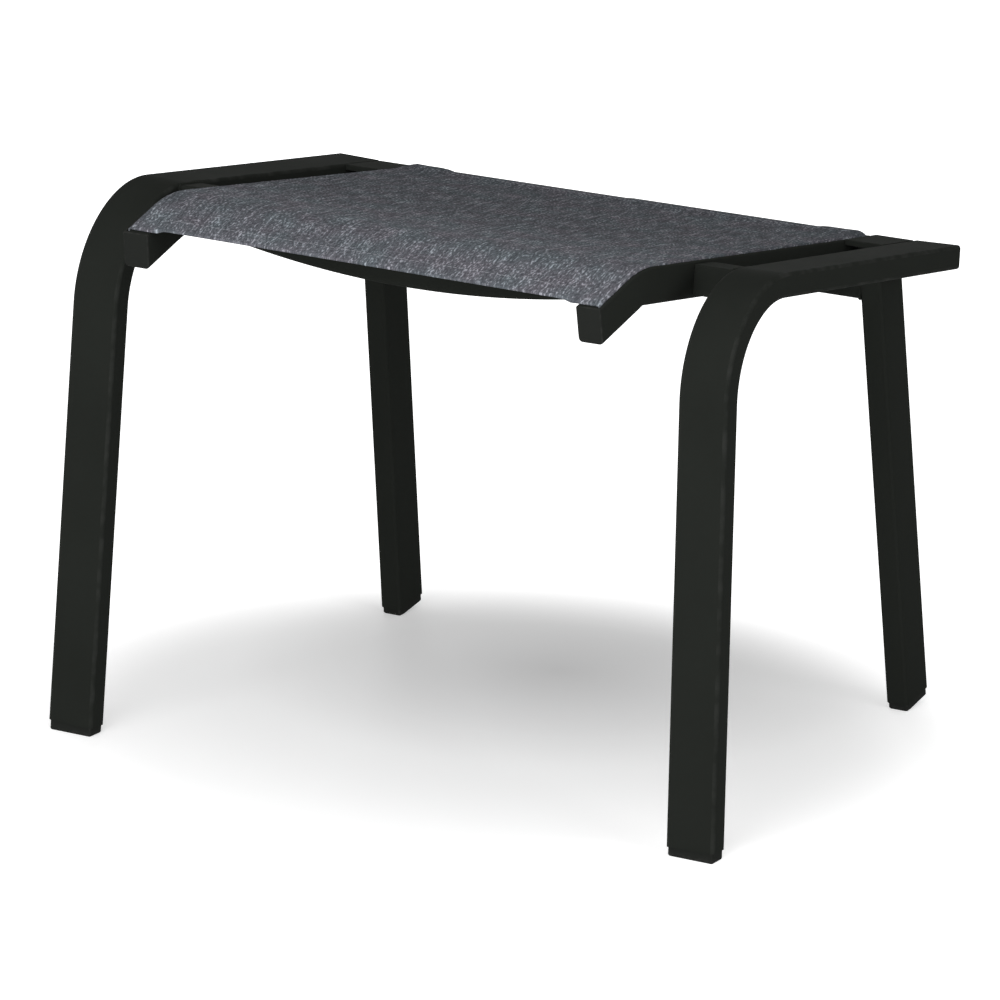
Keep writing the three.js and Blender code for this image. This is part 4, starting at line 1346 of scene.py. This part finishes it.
@dataclass
class Sling(Part):
    """The woven cloth: drawn over both rails, rolled round rods in their grooves, hemmed at both ends.

    Each fade is where a lift begins to ease off and over what length.
    """

    rails: dict[Side, SlingRail]
    thick: float = 1.0
    lift: float = 0.8
    front_inset: dict[Side, float] = field(default_factory=lambda: {Side.LEFT: 2.1, Side.RIGHT: 0.9})
    back_inset: float = 7.0
    sag: float = 3.0
    rod_radius: float = 1.6
    rod_sides: int = 16
    roll_steps: int = 14
    roll_overlap_degrees: float = 28.0
    first_top_column: int = 17
    first_hem_column: int = 18
    span_columns: int = 64
    main_rows: int = 96
    hem_rows: int = 5
    fold_rows: int = 4
    fold_pitch: float = 0.5
    hem: float = 22.0
    hem_gap: float = 1.05
    front_lift: float = 0.85
    back_lift: float = 1.5
    front_stretch: tuple = (2.3, 1.6)
    stretch_fade: tuple = (8.0, 60.0)
    stretch_rim: tuple = (2.0, 7.0)
    corner_stand: tuple = (1.6, 1.1)
    corner_fade: tuple = (6.0, 22.0)
    corner_rim: tuple = (15.0, 5.0)
    half_span: float = 178.0
    tuck: float = 1.2
    tuck_inside: float = 7.0
    tuck_wide: float = 3.5
    roll_gap: float = 0.15
    slot_turn: tuple = ((0.0, -1.1), (-0.12, -0.55), (-0.45, -0.18), (-1.0, 0.0))
    top_steps: int = 6
    lift_columns: int = 3
    hem_fade: tuple = (0.55, 0.75)
    seam_inset: float = 14.0
    seam_wide: float = 340.0
    seam_half_span: float = 178.5
    stitch_pitch: float = 4.4
    stitch_long: float = 3.4
    thread: float = 0.3
    thread_section: tuple = (0.9, 0.75)
    thread_proud: float = 0.05
    probe: float = 0.01

    def edge_line(self) -> Points:
        """Middle of the cloth in a rail's section, from inside the roll to the rail's inner edge.

        Returns:
            The points in order.
        """
        rail = self.rails[Side.RIGHT]
        ring, slot = self.rod_radius + self.roll_gap + self.thick / 2, rail.slot_centre
        top = rail.tall / 2 + self.lift
        meet = math.acos((slot - rail.groove_across) / ring)
        start, line = meet + math.radians(self.roll_overlap_degrees), []
        for step in range(self.roll_steps + 1):
            angle = start + (meet + 2 * math.pi - start) * step / self.roll_steps
            across, up = ring * math.cos(angle), ring * math.sin(angle)
            line.append((rail.groove_across + across, rail.groove_up + up))
        line += [(slot + across, top + up) for across, up in self.slot_turn]
        last = line[-1][0]
        reach = -rail.wide / 2 - last
        line += [(last + reach * step / self.top_steps, top) for step in range(1, self.top_steps + 1)]
        return line

    def ends(self, side: Side) -> tuple[float, float]:
        """Depths of the cloth's front and back edge on one side."""
        line = self.rails[side].stations()
        return line[-1].y + self.front_inset[side], line[0].y - self.back_inset

    @property
    def length(self) -> float:
        """Length of the cloth in view along the right rail."""
        front, back = self.ends(Side.RIGHT)
        return back - front

    def rail_place(self, side: Side, share: float) -> Place:
        """Place on a rail between the cloth's front edge, 0, and its back edge, 1."""
        front, back = self.ends(side)
        return self.rails[side].place_at(front + (back - front) * share)

    def rows(self) -> list[SlingRow]:
        """Rows from the front hem's raw edge, round the fold, to the back hem's raw edge.

        Returns:
            The rows in order.
        """
        length, fold = self.length, 0.5 * self.hem_gap
        rows: list[SlingRow] = []
        flat = 0.0
        for step in range(self.hem_rows):
            rows.append(SlingRow(self.hem * (1 - step / self.hem_rows) / length, self.hem_gap, flat, True))
            flat += self.hem / self.hem_rows
        for step in range(self.fold_rows):
            angle = math.pi * (step + 0.5) / self.fold_rows
            share = fold * (1 - math.sin(angle)) / length
            rows.append(SlingRow(share, fold * (1 + math.cos(angle)), flat, step < self.fold_rows / 2))
            flat += self.fold_pitch
        tail = [SlingRow(1 - r.share, r.below, 0.0, r.under) for r in reversed(rows)]
        for step in range(self.main_rows + 1):
            share = fold / length + (1 - self.hem_gap / length) * step / self.main_rows
            rows.append(SlingRow(share, 0.0, flat, False))
            flat += length / self.main_rows
        for index, row in enumerate(tail):
            flat += self.fold_pitch if index < self.fold_rows else self.hem / self.hem_rows
            row.flat = flat
        return rows + tail

    def raised(self, share: float) -> float:
        """How far the double layer of a hem lifts the cloth's top at a row."""
        lift = self.front_lift if share < 0.5 else self.back_lift
        start, length = (part * self.hem for part in self.hem_fade)
        return lift * fade(min(share, 1 - share) * self.length, start, length)

    def inside(self, across: float) -> float:
        """Distance from the nearer rail at a place between the left rail, -1, and the right one, 1."""
        return (1 - abs(across)) * self.half_span

    def stand(self, share: float, across: float) -> float:
        """How far the stretched front hem and the stiff back corners stand up between the rails.

        Args:
            share: place between front and back.
            across: place between the left rail, -1, and the right one, 1.

        Returns:
            The height over the line between the rails.
        """
        ahead, behind, inside = share * self.length, (1 - share) * self.length, self.inside(across)
        left, right = self.front_stretch
        pull = (left + (right - left) * (across + 1) / 2) * fade(ahead, *self.stretch_fade)
        corner = self.corner_stand[across >= 0] * fade(behind, *self.corner_fade)
        return pull * (1 - fade(inside, *self.stretch_rim)) + corner * fade(inside, *self.corner_rim)

    def sag_at(self, share: float, across: float) -> float:
        """Depth of the sag below the line between the rails."""
        return self.sag * math.sin(math.pi * min(1.0, max(0.0, share))) * (1 - across * across)

    def row_points(self, row: SlingRow, edge: Points) -> list[Vector]:
        """Points of one row from the left roll to the right one.

        Args:
            row: which row.
            edge: the cloth's middle line in a rail's section.

        Returns:
            One point for each column.
        """
        left, right = [], []
        for side, points in ((Side.LEFT, left), (Side.RIGHT, right)):
            place = self.rail_place(side, row.share)
            lift = self.raised(row.share) + self.stand(row.share, float(side.value)) - row.below
            for index, (a, b) in enumerate(edge):
                share = smooth_step((index - self.first_top_column) / self.lift_columns)
                points.append(place.at(a, b + lift * share))
        span = []
        for column in range(1, self.span_columns):
            across = 2 * column / self.span_columns - 1
            point = left[-1].lerp(right[-1], column / self.span_columns)
            point.z += self.stand(row.share, across) - self.stand(row.share, math.copysign(1.0, across))
            point.z -= self.sag_at(row.share, across)
            if row.under:
                off = (self.inside(across) - self.tuck_inside) / self.tuck_wide
                point.z -= self.tuck * math.exp(-off * off)
            span.append(point)
        return left + span + right[::-1]

    def top_point(self, share: float, across: float) -> Vector:
        """Point on the cloth's middle surface between the rails.

        Args:
            share: place between front and back.
            across: place between the left rail, -1, and the right one, 1.

        Returns:
            The point.
        """
        a, b = self.edge_line()[-1]
        left, right = (self.rail_place(side, share).at(a, b + self.raised(share)) for side in Side)
        point = left.lerp(right, (across + 1) / 2)
        point.z += self.stand(share, across) - self.sag_at(share, across)
        return point

    def rod(self, shop: Workshop, side: Side) -> None:
        """Lay the rod of one sewn edge in its rail's groove.

        Args:
            shop: finishes the mesh.
            side: which edge of the cloth.
        """
        rail = self.rails[side]
        front, back = self.ends(side)
        middle = [rail.place(station) for station in rail.stations() if front < station.y < back]
        bm = bmesh.new()
        skin = circle(bm, self.rod_radius, self.rod_sides)
        bmesh.ops.translate(bm, vec=(rail.groove_across, rail.groove_up, 0.0), verts=bm.verts[:])
        close_ends(bm, skin, sweep(bm, skin, [rail.place_at(back), *middle, rail.place_at(front)]))
        word = side.word
        shop.piece(bm, f"{word}_edge_rod", Slot.KEDER, replaces=(f"{word}_keder_rod",), band=0.0)

    def build(self, shop: Workshop) -> None:
        """Args:
            shop: finishes the meshes.
        """
        edge, rows = self.edge_line(), self.rows()
        table = [self.row_points(row, edge) for row in rows]
        middle, widths = table[len(table) // 2], [0.0]
        for before, after in zip(middle, middle[1:]):
            widths.append(widths[-1] + (after - before).length)
        bm, spans = bmesh.new(), (len(table[0]) - 1, len(rows) - 1)
        bmesh.ops.create_grid(bm, x_segments=spans[0], y_segments=spans[1], size=0.5)
        cells = {v: tuple(round((co + 0.5) * span) for co, span in zip(v.co, spans)) for v in bm.verts}
        for vert, (column, row) in cells.items():
            vert.co = table[row][column]
        sheet_map = bm.loops.layers.uv.new("cloth")
        for loop in (loop for face in bm.faces for loop in face.loops):
            column, row = cells[loop.vert]
            loop[sheet_map].uv = (widths[column] * MM, rows[row].flat * MM)
        self.trim_hems(bm, cells, rows)
        cloth = shop.piece(
            bm, "woven_sling", Slot.SLING, replaces=("sling_fabric",), weighted=False, turn_out=False
        )
        wall = cloth.modifiers.new("cloth_thickness", "SOLIDIFY")
        wall.thickness, wall.offset = self.thick * MM, 0.0
        for side in Side:
            self.rod(shop, side)
        self.sew(shop)

    def trim_hems(self, bm: BMesh, cells: dict, rows: list[SlingRow]) -> None:
        """Cut the hem's lower layer short of the slots, where only one layer goes in.

        Args:
            bm: the draped grid.
            cells: column and row of each corner.
            rows: the cloth's rows.
        """
        low = self.first_hem_column
        high = max(column for column, _ in cells.values()) - low
        spare = [
            face for face in bm.faces
            if any(rows[cells[v][1]].under for v in face.verts)
            and not all(low <= cells[v][0] <= high for v in face.verts)
        ]
        bmesh.ops.delete(bm, geom=spare, context="FACES")

    def sew(self, shop: Workshop) -> bpy.types.Object:
        """Two rows of lock stitches, one along each hem, seen on both faces of the cloth.

        Args:
            shop: finishes the mesh.

        Returns:
            The stitching.
        """
        bm = bmesh.new()
        seam, count = self.seam_inset / self.length, int(self.seam_wide / self.stitch_pitch)
        wide, tall = (self.thread * part for part in self.thread_section)
        shape = Matrix.Diagonal((self.stitch_long / 2, wide, tall, 1.0))
        above = self.thick / 2 + self.thread_proud
        for share in (seam, 1 - seam):
            for index in range(count):
                across = self.seam_wide * ((index + 0.5) / count - 0.5) / self.seam_half_span
                here = self.top_point(share, across)
                ahead = (self.top_point(share, across + self.probe) - here).normalized()
                inwards = (self.top_point(min(share + self.probe, 1.0), across) - here).normalized()
                normal = ahead.cross(inwards).normalized()
                for layer in (above, -above - self.hem_gap):
                    turn = basis(ahead, normal.cross(ahead), normal, here + normal * layer)
                    place = turn @ shape
                    bmesh.ops.create_uvsphere(bm, u_segments=6, v_segments=5, radius=1.0, matrix=place)
        thread = shop.finishes.get(Thread())
        return shop.piece(bm, "hem_stitching", Slot.SLING, material=thread, weighted=False)


@dataclass(frozen=True)
class ButtonBolt:
    """Button-headed bolt with a hexagon socket."""

    head_radius: float = 5.5
    head_tall: float = 3.2
    shank_radius: float = 3.0
    socket_radius: float = 2.3
    socket_deep: float = 1.9
    mouth_share: float = 1.25
    steps: int = 28
    dome_steps: int = 7

    def build(self, shop: Workshop, name: str, under: Vector, axis: Vector, length: float) -> None:
        """Stand a bolt in for a CAD one.

        Args:
            shop: finishes the mesh.
            name: the CAD bolt's node.
            under: middle of the head's underside.
            axis: direction of the shank.
            length: shank length.
        """
        bm = bmesh.new()
        turn = Vector((0.0, 0.0, 1.0)).rotation_difference(axis).to_matrix()
        reach = math.acos(self.socket_radius * self.mouth_share / self.head_radius)
        rings = [(self.shank_radius, length), (self.shank_radius, 0.0), (self.head_radius, 0.0)]
        for step in range(1, self.dome_steps + 1):
            angle = reach * step / self.dome_steps
            height = -self.head_tall * math.sin(angle) / math.sin(reach)
            rings.append((self.head_radius * math.cos(angle), height))
        mouth_z = -self.head_tall
        socket = [(self.socket_radius, mouth_z), (self.socket_radius, mouth_z + self.socket_deep)]
        ends = []
        for sides, path in ((self.steps, rings), (6, socket)):
            places = [Place(under + axis * height, turn.col[0], turn.col[1]) for _, height in path]
            ends.append(circle(bm, 1.0, sides))
            ends.append(sweep(bm, ends[-1], places, [radius for radius, _ in path]))
        tip, rim, mouth, floor = ends
        close_ends(bm, tip, floor)
        bmesh.ops.bridge_loops(bm, edges=rim + mouth)
        shop.piece(bm, f"{name}_socket_head", Slot.STEEL, replaces=(name,), band=0.0)


@dataclass
class Hardware(Part):
    """The fasteners that can be seen: bolts in the legs and rails, screws under the cross tube."""

    bolt: ButtonBolt = ButtonBolt()
    flat_screw: ButtonBolt = ButtonBolt(head_radius=5.0, head_tall=0.9, socket_deep=1.4)
    fit_rounds: int = 12
    end_share: float = 0.35
    rim_band: float = 0.05

    def build(self, shop: Workshop) -> None:
        """Stand a detailed bolt in for each CAD one, on the same axis.

        Args:
            shop: finishes the meshes.
        """
        for side in Side:
            for node in ("rail_bolt", "front_leg_bolt", "back_leg_bolt", "cross_tube_screw"):
                name = f"{side.word}_{node}"
                kind = self.flat_screw if node == "cross_tube_screw" else self.bolt
                kind.build(shop, name, *self.axis_of(name))

    def axis_of(self, node: str) -> tuple[Vector, Vector, float]:
        """Middle of the head's underside, direction and length of a CAD bolt.

        Args:
            node: the bolt's node.

        Returns:
            The point, the direction and the shank's length, in millimetres.
        """
        points = [v.co / MM for v in bpy.data.objects[node].data.vertices]
        middle = mean(points)
        far = max(points, key=lambda p: (p - middle).length)
        axis = (far - middle).normalized()
        for _ in range(self.fit_rounds):
            heights = [(p - middle).dot(axis) for p in points]
            top, low = max(heights), min(heights)
            reach = self.end_share * (top - low)
            tips = [p for p, h in zip(points, heights) if h > top - reach]
            base = [p for p, h in zip(points, heights) if h < low + reach]
            axis = (mean(tips) - mean(base)).normalized()
        radii = [((p - middle) - axis * (p - middle).dot(axis)).length for p in points]
        head = mean([p for p, r in zip(points, radii) if r > max(radii) - self.rim_band])
        if (head - middle).dot(axis) > 0:
            axis.negate()
        return head, axis, max((p - head).dot(axis) for p in points)


@dataclass
class Welds:
    """Small rippled weld beads where the short tubes meet the legs and bars."""

    radius: float = 1.1
    pitch: float = 0.9
    sides: int = 10
    corner_steps: int = 4
    long_edge: float = 4.0
    ripples: tuple = ((0.12, 2.4, 0.0), (0.05, 5.1, 1.0))

    def path(self, wide: float, tall: float, corner: float) -> list[Vector]:
        """Closely spaced points round a rectangular tube's end, in XY.

        Args:
            wide: the tube's size across.
            tall: its size upwards.
            corner: its corner radius.

        Returns:
            The points in order.
        """
        bm = bmesh.new()
        outline = rounded_section(bm, wide, tall, corner, self.corner_steps)
        for edge in [e for e in outline if e.calc_length() > self.long_edge]:
            bmesh.ops.subdivide_edges(bm, edges=[edge], cuts=int(edge.calc_length() / self.pitch))
        bm.verts.ensure_lookup_table()
        ring = [bm.verts[0]]
        while len(ring) < len(bm.verts):
            others = (e.other_vert(ring[-1]) for e in ring[-1].link_edges)
            ring.append(next(v for v in others if v not in ring[-2:]))
        points = [v.co.copy() for v in ring]
        bm.free()
        return points

    def bead(self, bm: BMesh, end: Place, *size: float) -> None:
        """Run a bead round a rectangular tube's end.

        Args:
            bm: mesh that gets the bead.
            end: middle of the joint, across and up along the tube's sides.
            size: the tube's size across and upwards and its corner radius.
        """
        points = self.path(*size)
        along_tube = end.across.cross(end.up).normalized()
        stations, swell = [], []
        for index in (*range(len(points)), 0):
            here, after, prior = points[index], points[(index + 1) % len(points)], points[index - 1]
            along = (after - prior).normalized()
            out = end.across * along.y - end.up * along.x
            stations.append(Place(end.at(here.x, here.y), out.normalized(), along_tube))
            waves = (deep * math.sin(index * rate + start) for deep, rate, start in self.ripples)
            swell.append(sum(waves, 1.0))
        first = circle(bm, self.radius, self.sides)
        last = sweep(bm, first, stations, swell)
        bmesh.ops.remove_doubles(bm, verts=verts_of(first + last), dist=0.01)

    def build(self, shop: Workshop, joints: list[tuple[Place, float, float, float]]) -> None:
        """Make a bead for each joint.

        Args:
            shop: finishes the meshes.
            joints: place, width, height and corner radius of each welded tube end.
        """
        for index, joint in enumerate(joints):
            bm = bmesh.new()
            self.bead(bm, *joint)
            shop.piece(bm, f"weld_bead_{index + 1}", Slot.FRAME, band=0.0, weighted=False)


@dataclass
class Understructure(Part):
    """Rear legs, cross tube, connectors and cap plates, which the CAD solids already shape."""

    arches: dict[Side, EndFrame]
    rails: dict[Side, SlingRail]
    connector_y: float = -96.35
    connector_deep: float = 28.0
    connector_tall: float = 22.0
    flush_drop: float = 1.4
    leg_half_span: float = 223.2
    leg_cant: float = 1.46
    leg_thick: float = 18.0
    cross_deep: float = 36.0
    cross_tall: float = 16.8
    connector_corner: float = 1.5
    cross_corner: float = 2.0
    plate_gap: float = 0.1
    weld_gap: float = 0.3

    def connector_end(self, side: Side) -> Place:
        """Where a connector meets the end frame.

        Args:
            side: left or right.

        Returns:
            The place, across and up along the connector's sides.
        """
        arch = self.arches[side]
        back, up = sloped(arch.bar_fall)
        height = arch.bar_top_at(self.connector_y) - self.flush_drop
        top = arch.plane.at(-arch.wide / 2, self.connector_y, height)
        face = arch.plane.face(-arch.wide / 2).shifted(-self.weld_gap)
        return Place(face.slide(top - up * (self.connector_tall / 2), side.out), back, up)

    def cross_end(self, side: Side) -> Place:
        """Where the cross tube meets a rear leg.

        Args:
            side: left or right.

        Returns:
            The place, across and up along the tube's sides.
        """
        low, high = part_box("rear_cross_tube")
        middle = Vector((0.0, (low.y + high.y) / 2, (low.z + high.z) / 2)) / MM
        leg = CantedPlane(side, self.leg_half_span, self.leg_cant)
        face = leg.face(-self.leg_thick / 2).shifted(-self.weld_gap)
        return Place(face.slide(middle, side.out), *sloped(self.rails[side].fall))

    def build(self, shop: Workshop) -> None:
        """Finish the pieces and weld the short tubes on.

        Args:
            shop: finishes the meshes.
        """
        joints = []
        for side in Side:
            word = side.word
            shop.smoothed_copy(f"{word}_rear_leg", Slot.FRAME)
            shop.smoothed_copy(f"{word}_front_connector", Slot.FRAME)
            raised = self.flush_drop - self.plate_gap
            shop.smoothed_copy(f"{word}_rear_cap_plate", Slot.FRAME, soften=0.3, thicken=raised)
            shop.smoothed_copy(f"{word}_rear_glide", Slot.PLASTIC, soften=0.4)
            connector = self.connector_deep, self.connector_tall, self.connector_corner
            joints.append((self.connector_end(side), *connector))
            joints.append((self.cross_end(side), self.cross_deep, self.cross_tall, self.cross_corner))
        shop.smoothed_copy("rear_cross_tube", Slot.FRAME)
        Welds().build(shop, joints)


@dataclass(frozen=True)
class Lamp:
    """A square soft lamp: where it hangs, what it points at, its side in metres and its watts.

    Glossy surfaces mirror it if glare is set.
    """

    name: str
    spot: tuple
    aim: tuple
    size: float
    power: float
    glare: bool = True

    def hang(self) -> None:
        """Put the lamp in the scene."""
        data = bpy.data.lights.new(self.name, "AREA")
        data.size, data.energy = self.size, self.power
        lamp = in_scene(self.name, data)
        lamp.location = self.spot
        lamp.visible_glossy = self.glare
        lamp.rotation_euler = (Vector(self.aim) - Vector(self.spot)).to_track_quat("-Z", "Y").to_euler()


@dataclass
class Studio:
    """Pale floor, soft lamps and the photograph's camera, in metres.

    The floor's shadow is partly real and partly painted: an emission seen by the eye and in reflections
    lifts the floor to white, weakest under the stool.
    """

    azimuth: float = 28.98
    elevation: float = 15.19
    roll: float = 1.79
    distance: float = 4.5921
    focal_pixels: float = 6203.9
    picture: float = 1000.0
    sensor: float = 36.0
    look_at: tuple = (0.0, 0.00265, 0.2082)
    shift_right: float = -0.0134
    shift_up: float = -0.0315
    ambient: float = 0.36
    floor_albedo: float = 0.77
    floor_half: float = 9.0
    floor_patches: float = 1.2
    floor_dim: float = 0.985
    clip_end: float = 60.0
    # painted shadow on the floor: its core, its rim and where the emission reaches full; the fade fields
    # give its soft tail
    shadow_core: tuple = (-0.04, 0.15, 0.0)
    shadow_least: float = 0.062
    shadow_rim: float = 0.25
    shadow_middle: tuple = (-0.02, 0.0, 0.0)
    shadow_near: float = 0.26
    shadow_open: float = 0.56
    fade_middle: tuple = (-0.03, 0.055, 0.0)
    fade_near: float = 0.18
    fade_open: float = 0.42
    fade_gain: float = 0.16
    lamps: tuple = (
        Lamp("overhead_softbox", (0.18, -0.80, 1.10), (0.0, -0.30, 0.2), 0.72, 4.4),
        Lamp("front_softbox", (0.10, -2.60, 0.85), (0.0, -0.05, 0.26), 1.7, 29.0),
        Lamp("low_fill", (-0.70, -2.30, 0.28), (0.0, 0.0, 0.2), 0.5, 8.0, glare=False),
        Lamp("right_softbox", (2.80, -0.60, 0.75), (0.0, 0.0, 0.26), 1.6, 29.0),
        Lamp("back_softbox", (-1.70, 2.50, 0.34), (0.0, 0.0, 0.26), 0.6, 31.0, glare=False),
    )

    def camera(self) -> None:
        """Set the camera where the photograph was taken from."""
        az, el, roll = (math.radians(a) for a in (self.azimuth, self.elevation, self.roll))
        back = Vector((math.sin(az) * math.cos(el), -math.cos(az) * math.cos(el), math.sin(el)))
        level = Vector((math.cos(az), math.sin(az), 0.0))
        upright = back.cross(level)
        right = level * math.cos(roll) + upright * math.sin(roll)
        up = upright * math.cos(roll) - level * math.sin(roll)
        data = bpy.data.cameras.new("photograph_camera")
        data.sensor_width = self.sensor
        data.lens = self.focal_pixels * self.sensor / self.picture
        data.clip_end = self.clip_end
        camera = in_scene("photograph_camera", data)
        spot = Vector(self.look_at) + right * self.shift_right + up * self.shift_up + back * self.distance
        camera.matrix_world = basis(right, up, back, spot)
        bpy.context.scene.camera = camera

    def looked_at(self, graph: Graph) -> Socket:
        """1 where the eye, a reflection or clear glass sees the surface, 0 for light on the object.

        Args:
            graph: graph of a material or of the world.

        Returns:
            The mask socket.
        """
        path = graph.add("ShaderNodeLightPath").outputs
        mirrored = graph.maths("MAXIMUM", path["Is Glossy Ray"], path["Is Transmission Ray"])
        return graph.maths("MAXIMUM", path["Is Camera Ray"], mirrored)

    def world(self) -> None:
        """White to the eye, a gentle grey as light and in reflections."""
        world = bpy.data.worlds.new("studio")
        bpy.context.scene.world = world
        graph = Graph.of(world)
        strength = graph.spread(self.looked_at(graph), 0.0, 1.0, self.ambient, 1.0)
        light = graph.add("ShaderNodeBackground", {"Color": WHITE, "Strength": strength})
        graph.add("ShaderNodeOutputWorld", {0: light.outputs[0]})

    def glow(self, graph: Graph, place: Socket) -> Socket:
        """The floor's painted emission, least at the painted shadow's core and full in the open.

        Args:
            graph: the floor's graph.
            place: position on the floor.

        Returns:
            The emission strength socket.
        """
        core, full = graph.distance(place, self.shadow_core), self.shadow_least + self.shadow_rim
        inner = graph.spread(core, 0.0, self.shadow_rim, self.shadow_least, full)
        for middle, near, far, gain in (
            (self.shadow_middle, self.shadow_near, self.shadow_open, 1.0),
            (self.fade_middle, self.fade_near, self.fade_open, self.fade_gain),
        ):
            away = graph.distance(place, middle)
            outer = graph.spread(away, near, far, 0.0, gain, interpolation_type="SMOOTHSTEP")
            inner = graph.maths("ADD", inner, outer)
        return graph.maths("MINIMUM", inner, 1.0)

    def floor(self) -> None:
        """Large pale floor with the lamps' shadow and a painted shadow, clear from below."""
        bm = bmesh.new()
        bmesh.ops.create_grid(bm, x_segments=1, y_segments=1, size=self.floor_half)
        mesh = bpy.data.meshes.new("studio_floor")
        bm.to_mesh(mesh)
        bm.free()
        material = bpy.data.materials.new("studio_floor")
        graph = Graph.of(material)
        place = graph.objects()
        patches, dim = graph.noise(place, self.floor_patches), self.floor_albedo * self.floor_dim
        drift = graph.spread(patches, 0.3, 0.7, dim, self.floor_albedo)
        matt = graph.add("ShaderNodeBsdfDiffuse", {"Color": graph.grey(drift)})
        # painted shadow: the eye sees an emission that is weakest under the stool
        strength = graph.maths("MULTIPLY", self.looked_at(graph), self.glow(graph, place))
        glow = graph.add("ShaderNodeEmission", {"Color": WHITE, "Strength": strength})
        both = graph.add("ShaderNodeAddShader", {0: matt.outputs[0], 1: glow.outputs[0]})
        below = graph.add("ShaderNodeNewGeometry").outputs["Backfacing"]
        clear = graph.add("ShaderNodeBsdfTransparent")
        seen = graph.add("ShaderNodeMixShader", {0: below, 1: both.outputs[0], 2: clear.outputs[0]})
        graph.add("ShaderNodeOutputMaterial", {0: seen.outputs[0]})
        mesh.materials.append(material)
        in_scene("studio_floor", mesh)

    def build(self) -> None:
        """Set up camera, world, floor and lamps."""
        self.camera()
        self.world()
        self.floor()
        for lamp in self.lamps:
            lamp.hang()
        bpy.context.scene.view_settings.view_transform = "Standard"


@dataclass
class Footstool:
    """The whole stool."""

    finishes: Finishes

    def dress_nodes(self) -> None:
        """Give every CAD node that stays in view its finish."""
        for entry in frame["record"]["subparts"]:
            materials = bpy.data.objects[entry["node"]].data.materials
            materials.clear()
            materials.append(self.finishes.for_slot(Slot(entry["material_slot"])))

    def build(self) -> None:
        """Build the sub-assemblies in order."""
        self.dress_nodes()
        arches = {side: EndFrame(side) for side in Side}
        rails = {
            Side.LEFT: SlingRail(Side.LEFT, front_y=-236.2),
            Side.RIGHT: SlingRail(Side.RIGHT, nose=19.2, toe=3.4, knee_y=-184.0, knee_radius=66.0),
        }
        parts = [part for side in Side for part in (arches[side], rails[side])]
        parts += [Understructure(arches, rails), Spreader(rails[Side.RIGHT]), Hardware(), Sling(rails)]
        shop = Workshop(self.finishes)
        for part in parts:
            part.build(shop)


def main() -> None:
    """Build the stool and its studio."""
    logging.basicConfig(level=logging.INFO, format="%(name)s: %(message)s")
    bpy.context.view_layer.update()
    Footstool(Finishes(SharedEffects())).build()
    Studio().build()


if __name__ == "__main__":
    main()
